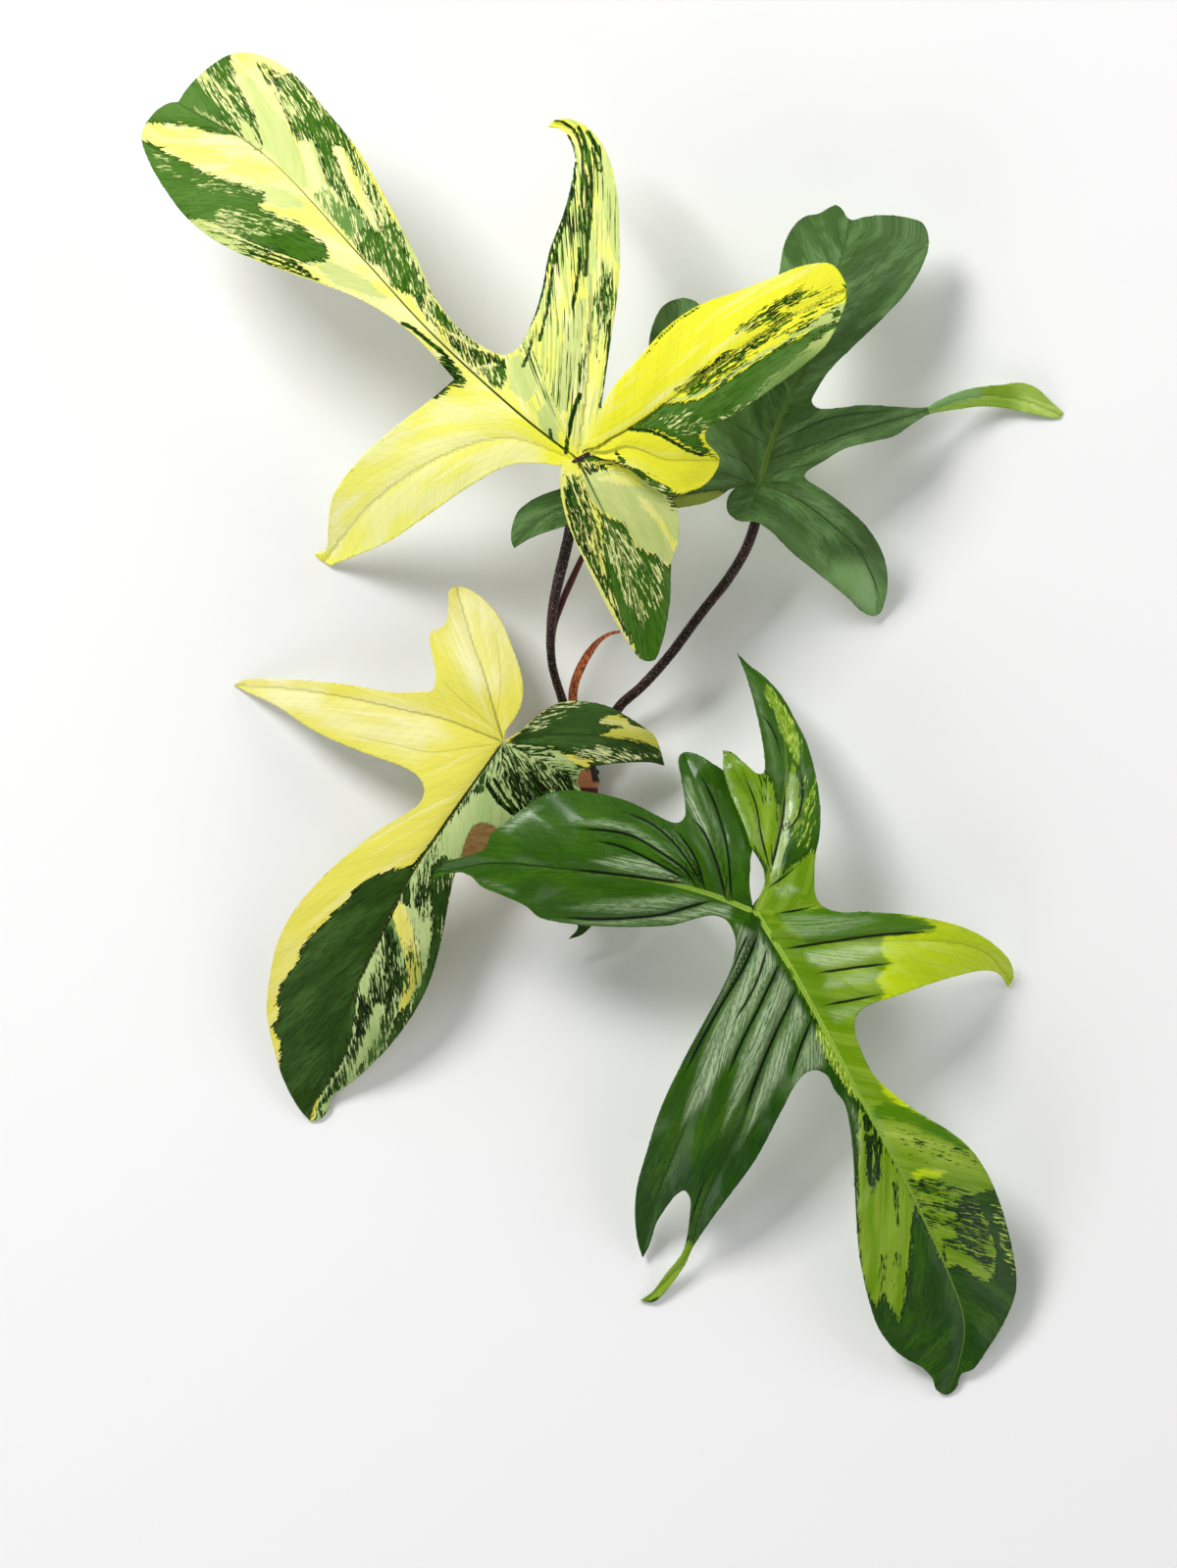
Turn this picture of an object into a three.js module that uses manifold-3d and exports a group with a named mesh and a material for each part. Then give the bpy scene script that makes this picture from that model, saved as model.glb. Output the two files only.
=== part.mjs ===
// A cut stem of the Florida Beauty philodendron with four lobed leaves, lying on a flat surface.
// Millimetres, +Z up. The stem's flat underside touches the surface z = 0 at the origin.

import * as THREE from 'three';
import { mergeVertices } from 'three/addons/utils/BufferGeometryUtils.js';
import Module from 'manifold-3d';

// Driving dimensions
const BLADE_THICKNESS = 1.0;
const BLADE_EDGE_STEP = 7;
const BLADE_INNER_STEP = 8.5;
const BLADE_EDGE_CLEARANCE = 3.5;
const BLADE_CROWDING = 0.6;
const RIB_FOLD = 0.1;
const RIB_FOLD_REACH = 14;
const STEM_RADIUS = 6.6;
const STEM_AXIS_HEIGHT = 6.2;
const AERIAL_ROOT_RADIUS = 1.5;
const AERIAL_ROOT_TAPER = 0.55;
const STALK_RADIUS = 1.9;
const SPEAR_RADIUS = 1.3;
const STRAP_HALF_WIDTH = 1.5;
const STRAP_THICKNESS = 0.8;
const PAPER_HALF_WIDTH = 7.5;
const PAPER_THICKNESS = 0.7;
const TOUCHING_GAP = 0.3;
const ROUND_SIDES = 10;

// Plan points are given as they look from this height over this point of the surface,
// so a point that lies higher is drawn in towards the line of sight.
const EYE_HEIGHT = 2500;
const EYE_X = 3.3;
const EYE_Y = 20.2;

// Marks a plan point where an outline turns sharply, such as a leaf tip or the foot of a slit
const CORNER = true;

const wasm = await Module();
wasm.setup();

function trueX(x, z) {
  return EYE_X + (x - EYE_X) * (1 - z / EYE_HEIGHT);
}

function trueY(y, z) {
  return EYE_Y + (y - EYE_Y) * (1 - z / EYE_HEIGHT);
}

function truePoint([x, y, z]) {
  return new THREE.Vector3(trueX(x, z), trueY(y, z), z);
}

// Smooth bending surface through points of given height: a thin-plate spline
function bendThrough(points) {
  const bend = (dx, dy) => {
    const squared = dx * dx + dy * dy;
    return squared > 0 ? squared * Math.log(squared) : 0;
  };
  const count = points.length;
  const size = count + 3;
  const rows = Array.from({ length: size }, () => new Array(size + 1).fill(0));
  points.forEach(([x, y, z], i) => {
    points.forEach(([u, v], j) => {
      rows[i][j] = bend(x - u, y - v);
    });
    [1, x, y].forEach((value, j) => {
      rows[i][count + j] = value;
      rows[count + j][i] = value;
    });
    rows[i][size] = z;
  });
  for (let column = 0; column < size; column += 1) {
    let pivot = column;
    for (let row = column + 1; row < size; row += 1) {
      if (Math.abs(rows[row][column]) > Math.abs(rows[pivot][column])) pivot = row;
    }
    [rows[column], rows[pivot]] = [rows[pivot], rows[column]];
    for (let row = 0; row < size; row += 1) {
      if (row === column) continue;
      const factor = rows[row][column] / rows[column][column];
      for (let k = column; k <= size; k += 1) {
        rows[row][k] -= factor * rows[column][k];
      }
    }
  }
  const weights = rows.map((row, i) => row[size] / row[i]);
  return (x, y) => {
    let z = weights[count] + weights[count + 1] * x + weights[count + 2] * y;
    points.forEach(([u, v], i) => {
      z += weights[i] * bend(x - u, y - v);
    });
    return z;
  };
}

function distanceToLine(x, y, line) {
  let nearest = Infinity;
  for (let i = 0; i < line.length - 1; i += 1) {
    const [ax, ay] = line[i];
    const [bx, by] = line[i + 1];
    const lengthSquared = (bx - ax) ** 2 + (by - ay) ** 2;
    const along = ((x - ax) * (bx - ax) + (y - ay) * (by - ay)) / lengthSquared;
    const t = THREE.MathUtils.clamp(along, 0, 1);
    nearest = Math.min(nearest, Math.hypot(x - ax - t * (bx - ax), y - ay - t * (by - ay)));
  }
  return nearest;
}

// Height of a blade's middle surface: its bend, with a shallow valley along each rib
function bladeHeight(leaf) {
  const bend = bendThrough(leaf.heights);
  return (x, y) => {
    const fromRib = Math.min(...leaf.ribs.map((rib) => distanceToLine(x, y, rib)));
    return bend(x, y) + RIB_FOLD * Math.min(fromRib, RIB_FOLD_REACH);
  };
}

// Outline with smooth curves between its corners, as a counter-clockwise list of points
function traceOutline(points, step) {
  const corners = points.map((point, i) => (point[2] ? i : -1)).filter((i) => i >= 0);
  const traced = [];
  corners.forEach((from, k) => {
    const to = k + 1 < corners.length ? corners[k + 1] : corners[0] + points.length;
    const run = [];
    for (let i = from; i <= to; i += 1) {
      const [x, y] = points[i % points.length];
      run.push(new THREE.Vector3(x, y, 0));
    }
    const curve = new THREE.CatmullRomCurve3(run, false, 'centripetal');
    for (let i = 0; i < run.length - 1; i += 1) {
      const pieces = Math.max(1, Math.round(run[i].distanceTo(run[i + 1]) / step));
      for (let j = 0; j < pieces; j += 1) {
        const { x, y } = curve.getPoint((i + j / pieces) / (run.length - 1));
        traced.push(new THREE.Vector2(x, y));
      }
    }
  });
  return THREE.ShapeUtils.isClockWise(traced) ? traced.reverse() : traced;
}

function isInside(x, y, outline) {
  let inside = false;
  outline.forEach((a, i) => {
    const b = outline[(i + 1) % outline.length];
    if (a.y > y !== b.y > y && x < a.x + ((b.x - a.x) * (y - a.y)) / (b.y - a.y)) inside = !inside;
  });
  return inside;
}

// Points inside a blade: evenly along each rib, then a staggered grid between them, each left out
// where it would crowd another one
function innerPoints(outline, ribs) {
  const edge = [...outline, outline[0]].map(({ x, y }) => [x, y]);
  const inner = [];
  const keep = (x, y, apart) => {
    const clear = isInside(x, y, outline) && distanceToLine(x, y, edge) > BLADE_EDGE_CLEARANCE;
    if (clear && inner.every((other) => Math.hypot(x - other.x, y - other.y) > apart)) {
      inner.push(new THREE.Vector2(x, y));
    }
  };
  ribs.forEach((rib) => {
    const curve = new THREE.CatmullRomCurve3(rib.map(([x, y]) => new THREE.Vector3(x, y, 0)));
    curve.getSpacedPoints(Math.round(curve.getLength() / BLADE_EDGE_STEP)).forEach(({ x, y }) => {
      keep(x, y, BLADE_EDGE_STEP * BLADE_CROWDING);
    });
  });
  const box = new THREE.Box2().setFromPoints(outline);
  const rowStep = BLADE_INNER_STEP * Math.sin(Math.PI / 3);
  for (let row = 0; box.min.y + row * rowStep < box.max.y; row += 1) {
    const shift = row % 2 ? BLADE_INNER_STEP / 2 : 0;
    for (let x = box.min.x + shift; x < box.max.x; x += BLADE_INNER_STEP) {
      keep(x, box.min.y + row * rowStep, BLADE_INNER_STEP * BLADE_CROWDING);
    }
  }
  return inner;
}

function turn(a, b, c) {
  return (b.x - a.x) * (c.y - a.y) - (b.y - a.y) * (c.x - a.x);
}

function angleAt(corner, a, b) {
  const one = a.clone().sub(corner);
  const two = b.clone().sub(corner);
  return Math.acos(THREE.MathUtils.clamp(one.dot(two) / (one.length() * two.length()), -1, 1));
}

// Swaps the shared edge of two neighbouring triangles wherever that makes them less slender
function evenOut(points, triangles) {
  let swapped = true;
  while (swapped) {
    swapped = false;
    const seen = new Map();
    const touched = new Set();
    triangles.forEach((triangle, t) => {
      for (let k = 0; k < 3; k += 1) {
        const a = triangle[k];
        const b = triangle[(k + 1) % 3];
        const c = triangle[(k + 2) % 3];
        const other = seen.get(`${b},${a}`);
        seen.set(`${a},${b}`, { t, c });
        if (!other || touched.has(t) || touched.has(other.t)) continue;
        const d = other.c;
        const [pa, pb, pc, pd] = [a, b, c, d].map((i) => points[i]);
        const slender = angleAt(pc, pa, pb) + angleAt(pd, pa, pb) > Math.PI + 1e-6;
        if (!slender || turn(pc, pa, pd) <= 0 || turn(pc, pd, pb) <= 0) continue;
        triangles[t] = [c, a, d];
        triangles[other.t] = [c, d, b];
        touched.add(t);
        touched.add(other.t);
        swapped = true;
      }
    });
  }
}

// Plan of a blade split into triangles, the same ones for its upper and lower faces
function bladePlan(leaf) {
  const outline = traceOutline(leaf.outline, BLADE_EDGE_STEP);
  const points = [...outline];
  const triangles = THREE.ShapeUtils.triangulateShape(outline, []).map((triangle) => [...triangle]);
  innerPoints(outline, leaf.ribs).forEach((point) => {
    const added = points.push(point) - 1;
    const around = triangles.findIndex((triangle) =>
      triangle.every((i, k) => turn(points[i], points[triangle[(k + 1) % 3]], point) >= 0));
    const [a, b, c] = triangles[around];
    triangles[around] = [a, b, added];
    triangles.push([b, c, added], [c, a, added]);
    evenOut(points, triangles);
  });
  return { points, edgeCount: outline.length, triangles };
}

// Closed sheet on a blade's plan, reaching above and below the blade's middle surface
function bladeSheet(leaf, plan, above, below) {
  const height = bladeHeight(leaf);
  const middle = plan.points.map(({ x, y }) => truePoint([x, y, height(x, y)]));
  const normals = middle.map(() => new THREE.Vector3());
  plan.triangles.forEach(([a, b, c]) => {
    const one = middle[b].clone().sub(middle[a]);
    const two = middle[c].clone().sub(middle[a]);
    const normal = one.cross(two);
    [a, b, c].forEach((i) => normals[i].add(normal));
  });
  normals.forEach((normal) => normal.normalize());
  const upper = middle.map((point, i) => point.clone().addScaledVector(normals[i], above));
  const lower = middle.map((point, i) => point.clone().addScaledVector(normals[i], -below));
  const count = middle.length;
  const faces = [];
  plan.triangles.forEach(([a, b, c]) => {
    faces.push(a, b, c, count + a, count + c, count + b);
  });
  for (let i = 0; i < plan.edgeCount; i += 1) {
    const next = (i + 1) % plan.edgeCount;
    faces.push(i, count + i, count + next, i, count + next, next);
  }
  return solid([...upper, ...lower], faces);
}

function solid(points, faces) {
  const geometry = new THREE.BufferGeometry().setFromPoints(points);
  geometry.setIndex(faces);
  return geometry;
}

// Closed body through rings of equal point count, with flat ends
function loft(rings, endFaces) {
  const count = rings[0].length;
  const last = (rings.length - 1) * count;
  const faces = [];
  for (let r = 0; r < rings.length - 1; r += 1) {
    for (let i = 0; i < count; i += 1) {
      const a = r * count + i;
      const b = r * count + ((i + 1) % count);
      faces.push(a, b + count, b, a, a + count, b + count);
    }
  }
  endFaces.forEach(([a, b, c]) => {
    faces.push(a, b, c, last + c, last + b, last + a);
  });
  return solid(rings.flat(), faces);
}

// Body along a curve of true points. section(t) gives the ring at share t of the length
// as [sideways, upwards] pairs, counter-clockwise when seen from the far end.
function sweep(path, steps, section) {
  const curve = new THREE.CatmullRomCurve3(path.map(truePoint), false, 'centripetal');
  const rings = [];
  for (let i = 0; i <= steps; i += 1) {
    const t = i / steps;
    const centre = curve.getPointAt(t);
    const ahead = curve.getTangentAt(t);
    const sideways = new THREE.Vector3(ahead.y, -ahead.x, 0).normalize();
    const upwards = sideways.clone().cross(ahead);
    rings.push(
      section(t).map(([s, u]) => centre.clone().addScaledVector(sideways, s).addScaledVector(upwards, u)),
    );
  }
  const flatRing = section(0).map(([s, u]) => new THREE.Vector2(s, u));
  return loft(rings, THREE.ShapeUtils.triangulateShape(flatRing, []));
}

function roundSection(radius) {
  return Array.from({ length: ROUND_SIDES }, (_, i) => {
    const angle = (2 * Math.PI * i) / ROUND_SIDES + Math.PI / ROUND_SIDES;
    return [radius * Math.cos(angle), radius * Math.sin(angle)];
  });
}

// Thin strip section with its edges turned up or down by the given rise
function stripSection(halfWidth, thickness, rise) {
  const shares = [-1, -0.5, 0, 0.5, 1];
  const row = shares.map((share) => [share * halfWidth, rise * share * share - thickness / 2]);
  const upperRow = row.map(([s, u]) => [s, u + thickness]).reverse();
  return [...row, ...upperRow];
}

// Value at share t of a list of values spaced evenly along a length
function along(values, t) {
  const place = t * (values.length - 1);
  const i = Math.min(Math.floor(place), values.length - 2);
  return THREE.MathUtils.lerp(values[i], values[i + 1], place - i);
}

function toManifold(geometry) {
  const vertProperties = new Float32Array(geometry.getAttribute('position').array);
  const triVerts = new Uint32Array(geometry.getIndex().array);
  return new wasm.Manifold(new wasm.Mesh({ numProp: 3, vertProperties, triVerts }));
}

function fromManifold(manifold) {
  const { numProp, vertProperties, triVerts } = manifold.getMesh();
  const points = [];
  for (let i = 0; i < vertProperties.length; i += numProp) {
    points.push(new THREE.Vector3(...vertProperties.slice(i, i + 3)));
  }
  return solid(points, [...triVerts]);
}

function cutAway(geometry, cutters) {
  let left = toManifold(geometry);
  cutters.forEach((cutter) => {
    left = left.subtract(toManifold(cutter));
  });
  return fromManifold(left);
}

// Upper left leaf, the highest, over the upper right leaf's inner lobes
const upperLeftLeaf = {
  outline: [
    [-136, 252, CORNER], [-139, 251.7], [-144, 248.5], [-148.5, 241], [-146.5, 233], [-141, 223],
    [-133, 212.5], [-121, 203.5], [-105, 196.5], [-88, 190.5], [-72, 183.8], [-58, 174.5], [-49, 165.5],
    [-42.2, 157.7, CORNER], [-50, 151], [-63, 141], [-75, 130], [-83.5, 118], [-85.2, 108], [-86, 100],
    [-90, 98.3, CORNER], [-87, 96], [-84.2, 94.5, CORNER], [-78, 97], [-65, 102.5], [-53, 110.5],
    [-37, 121.5], [-24, 128.5], [-14, 129.3], [-5.8, 128.3, CORNER], [-6.2, 121], [-4, 110], [2, 96],
    [10, 80], [17, 68], [21.5, 62.5], [25.5, 62.3], [28.5, 69], [31, 83], [31.5, 95], [34, 104.5],
    [32.7, 114], [29.5, 118.2], [24, 122], [18, 126.3], [12, 129.5], [6, 131.3], [1.5, 131.9, CORNER],
    [6.5, 133.2], [12.5, 132.3], [18.5, 128.6], [24, 124.4], [28, 121.8], [32, 120.5], [38, 120],
    [43, 122.2], [47, 127.5], [47.8, 131], [46, 133.4], [43.3, 136.5], [42.8, 139.3], [45, 142.2],
    [53, 146], [64, 153.5], [75, 161.5], [84, 169.5], [88.3, 177.5], [91, 186], [90.3, 191], [86, 196.7],
    [78, 196.8], [66, 192.5], [55, 188], [41, 183], [30, 175.5], [20, 164.5], [12, 155.5],
    [7.5, 148, CORNER], [9, 158], [11, 172], [13.5, 190], [13.8, 205], [12.8, 222], [9.5, 234.5],
    [4, 242.3], [-3, 246.2], [-8.5, 245.6], [-10.3, 243.7, CORNER], [-5.5, 242.5], [-1.5, 235],
    [-1.8, 228], [-5, 214.5], [-10, 201], [-12.5, 188], [-16, 177], [-21, 168], [-25.5, 166], [-31, 168],
    [-40, 174.5], [-48.5, 185], [-55.5, 200], [-65, 218], [-75, 235.5], [-86, 249.3], [-97, 261.5],
    [-107, 267.5], [-117, 268.5], [-126, 263.5], [-133.5, 256],
  ],
  heights: [
    [-1.5, 131, 82], [-20, 146, 86], [-50, 173.5, 88], [-74, 199.5, 86], [-100, 228, 78],
    [-120, 244, 70], [-136, 252, 60], [-60, 209, 84], [-102, 265, 64], [-147, 241, 54],
    [-127, 207.5, 68], [-97, 193.5, 78], [-65, 179.5, 84], [-27, 166, 86], [3, 165, 86], [2, 190, 80],
    [2, 215, 68], [0, 235, 52], [-9, 244, 44], [13.7, 205, 70], [-9, 203, 72], [17, 141, 82],
    [30, 150, 80], [50, 165, 76], [70, 179, 69], [90, 188, 58], [48, 186, 70], [75, 161.5, 66],
    [43, 139, 73], [25, 131, 76], [38, 127, 69], [46, 130, 64], [32, 121, 68], [5, 122, 79],
    [14, 105, 68], [20, 88, 54], [22, 74, 42], [24, 63, 34], [-5, 114, 70], [33, 105, 60],
    [31, 88, 50], [6, 88, 52], [-24, 137, 80], [-45, 129, 68], [-50, 151, 74], [-65, 120, 46],
    [-80, 110, 22], [-86, 96.5, 1.4], [-89.8, 98.3, 1.2], [-84.2, 94.5, 1.6],
  ],
  ribs: [
    [[-1.5, 131.5], [-20, 146], [-50, 173.5], [-74, 199.5], [-108, 235], [-135, 251]],
    [[-3, 131.5], [-25, 138], [-50, 130], [-70, 116], [-86, 97]],
    [[0, 134], [2, 150], [4, 175], [3, 205], [2, 228], [-8, 244]],
    [[2, 133.5], [17, 141], [30, 150], [50, 165], [70, 178], [88, 187]],
    [[4, 134], [17, 135], [30, 130.5], [46, 130.5]],
    [[0, 130], [4, 122], [12, 105], [18, 88], [22, 74], [24, 64]],
  ],
};

// Upper right leaf, plain green, with a twisted right lobe and a lobe that passes under its neighbour
const upperRightLeaf = {
  outline: [
    [59.5, 121.6, CORNER], [56, 122.3], [51.5, 120.8], [48, 118.1], [42.2, 115.6], [35, 114.2],
    [25, 112.7], [12, 110.8], [0, 109], [-6.7, 107.2], [-13.3, 105], [-18.3, 102.8],
    [-21.9, 100.3, CORNER], [-23, 103], [-22.6, 108], [-20.5, 113], [-15.6, 116.9], [-9, 119.7],
    [-2, 121.6], [10, 123], [25, 124.5], [33, 127], [36, 131], [34, 138], [29, 150], [25.5, 160],
    [23.8, 168], [24.8, 175], [28.3, 182.3], [33.5, 185.1], [38.5, 184.8], [42.5, 181.5], [47.5, 174],
    [52, 165], [56, 160.5], [59.5, 163], [63, 175], [66.5, 187], [68.3, 195], [69.7, 203],
    [72.5, 209], [76.5, 212.9], [81.5, 214], [85, 216], [87.6, 216.9], [89.6, 215.3], [91, 213],
    [92.8, 211.9], [97, 212.9], [104, 213.5], [112, 212.6], [117, 210.6], [118.9, 204.6], [117.4, 198],
    [112, 188.3], [104, 179.3], [94.4, 170], [85.4, 161], [80.9, 154.3], [79.1, 150.1], [80.9, 148.1],
    [86, 147.8], [97, 149], [107, 148.5], [118.6, 148.3], [121, 149.8], [126.9, 152.7], [134.6, 154.9],
    [143.8, 155.9], [150, 156.6], [155.4, 154.9], [160, 150.6], [164.5, 146.8, CORNER], [163.5, 144.7],
    [153.8, 146], [146.2, 147.8], [136.9, 148.6], [127.7, 147.4], [121.5, 146.5], [118.3, 145.6],
    [114.2, 143.2], [107.2, 138.5], [100.1, 136.7], [90.2, 134.1], [83.1, 129.9], [77.3, 126.2],
    [76.8, 124.4], [83.8, 119.6], [91.5, 113.7], [98.8, 106.4], [103.5, 97.9], [104.9, 90.3],
    [104.2, 83.3], [102.3, 78.3], [100.2, 77.3], [96.5, 78.7], [90.8, 84.1], [80.8, 92.2], [72.3, 99.1],
    [65, 106.4], [60, 109.3], [54, 109.8], [50.6, 112.8], [50.4, 116.5], [52.8, 119.1], [57, 120.6],
  ],
  heights: [
    [61.7, 122, 42], [66, 138, 45], [74, 158, 46], [82, 178, 44], [89, 198, 38], [92.4, 211, 32],
    [68.5, 196, 38], [76, 213, 28], [118, 204, 22], [110, 186, 30], [95, 171, 38], [80, 152, 43],
    [48, 142, 44], [42, 155, 43], [34, 172, 38], [32, 184, 33], [25, 172, 35], [57, 162, 44],
    [52, 124, 46], [38, 119, 51], [18, 117, 58.5], [0, 115.5, 62], [-12, 111, 60], [-22, 103, 54],
    [75, 131, 42], [90, 139, 38], [105, 143, 30], [118, 147, 20], [135, 152, 10], [150, 152, 4],
    [164.3, 146.4, 0.6], [68, 117, 41], [80, 110, 35], [92, 98, 25], [99, 87, 12], [101, 79, 4],
    [70, 103, 31], [96, 110, 29], [104.5, 91, 11], [84.6, 89.5, 20], [53, 114, 39], [60, 110, 38.5],
  ],
  ribs: [
    [[61.5, 123], [66, 138], [74, 158], [82, 178], [89, 198], [92, 210]],
    [[60, 124], [50, 140], [42, 155], [35, 170], [33, 183]],
    [[59, 123.5], [45, 120.5], [20, 117.5], [0, 115.5], [-12, 111], [-21, 103]],
    [[64, 124], [75, 131], [90, 139], [105, 143], [118, 147], [135, 152], [150, 151], [163, 146]],
    [[63.5, 121.5], [73, 118], [83, 111], [93, 101], [100, 90], [101.5, 80]],
  ],
};

// Left leaf, half yellow, with a narrow lobe hidden under the lower right leaf
const leftLeaf = {
  outline: [
    [-25.3, 34.9, CORNER], [-24.6, 38.5], [-22, 42], [-19.8, 46.5], [-18.9, 52], [-19.7, 58],
    [-23.4, 68.8], [-26.8, 76.5], [-31.1, 81.9], [-37.5, 86.5], [-41.5, 87.3], [-43.9, 86], [-44.2, 80],
    [-44.8, 75.8], [-47, 73], [-50.2, 71.8], [-50.6, 69], [-49.3, 62], [-48.6, 55.4], [-49.8, 52],
    [-54, 51.4], [-64, 51.4], [-77.7, 53.8], [-95, 55.5], [-107, 56], [-114, 55.4],
    [-117.2, 53.7, CORNER], [-112.2, 51.2], [-102.4, 46.6], [-92.5, 39.9], [-84.7, 35.7], [-72, 30.5],
    [-60.1, 26.2], [-54.8, 23], [-52.5, 18.5], [-54, 13.7], [-60.8, 8.9], [-69.2, 3.6], [-81.9, -6.6],
    [-90.4, -15.1], [-97.5, -24], [-102.6, -34.5], [-105.2, -47], [-106, -57.5], [-103.5, -70],
    [-100.4, -80], [-95.3, -89.7], [-91.3, -94.4, CORNER], [-88.1, -93.8], [-85, -90.3], [-84.2, -86.6],
    [-75.1, -79.5], [-65.6, -70.2], [-57.4, -59.6], [-51.2, -48], [-47.1, -34.3], [-44.4, -20.7],
    [-42.2, -10.5], [-39.8, -3.5], [-37.6, 3], [-35.2, 6.3], [-31.8, 6.9], [-27.6, 5], [-20, -2],
    [-12, -12], [-5, -22], [-0.3, -28.5], [-3.6, -32.6, CORNER], [1, -31], [4.2, -28], [7, -20],
    [8, -8], [6.5, 5], [3, 14], [0, 19.5], [-0.2, 22.5], [1.7, 25.3], [6.8, 26.5], [17, 27.5],
    [24.8, 27.5], [29.1, 26.5, CORNER], [27.8, 31.5], [25.6, 36.7], [21.8, 39.6], [15.8, 43.5],
    [9.2, 46.8], [0.8, 48.3], [-6.9, 47.7], [-13.5, 43.8], [-20.1, 38.1], [-23.4, 36],
  ],
  heights: [
    [-26, 34, 38], [-35, 21.5, 40], [-49.5, 1, 38], [-60, -16, 34], [-70, -36, 28], [-78, -55, 20],
    [-85, -75, 10], [-91.2, -94.2, 0.6], [-57, 11, 36], [-82, -7, 30], [-101, -31, 20], [-106, -57, 9],
    [-102, -75, 5], [-44, -20, 31], [-49, -41, 25], [-61, -65, 15], [-80, -83, 4], [-45, 42, 36],
    [-60, 45, 32], [-78, 48, 24], [-98, 51, 13], [-117, 53.7, 0.6], [-62, 51.2, 31], [-64, 28, 31],
    [-90, 38, 18], [-29, 46, 38], [-31, 58, 36], [-36, 68, 31], [-41, 84, 20], [-19, 52, 36],
    [-49, 60, 31], [-24.5, 73, 28], [-12, 38, 37], [0, 38, 33], [12, 37, 27], [22, 34, 21],
    [29, 27, 14], [0, 48, 29], [15, 43.5, 24], [6, 26.5, 30], [-18, 18, 35], [-10, 5, 29],
    [-2, -12, 21], [2, -26, 12], [-3.6, -32.6, 7],
  ],
  ribs: [
    [[-26, 34], [-35, 21.5], [-49.5, 1], [-60, -16], [-70, -36], [-80, -60], [-91, -92]],
    [[-27, 35], [-45, 42], [-60, 45.5], [-78, 49.5], [-98, 52.5], [-116, 53.7]],
    [[-26, 36], [-29, 46], [-32, 57], [-36, 68], [-41, 85]],
    [[-24, 34.5], [-12, 36.5], [0, 37], [12, 35.5], [22, 32], [28.5, 27]],
    [[-25, 33], [-17, 18], [-8, 2], [-1, -14], [1.5, -27]],
  ],
};

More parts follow.
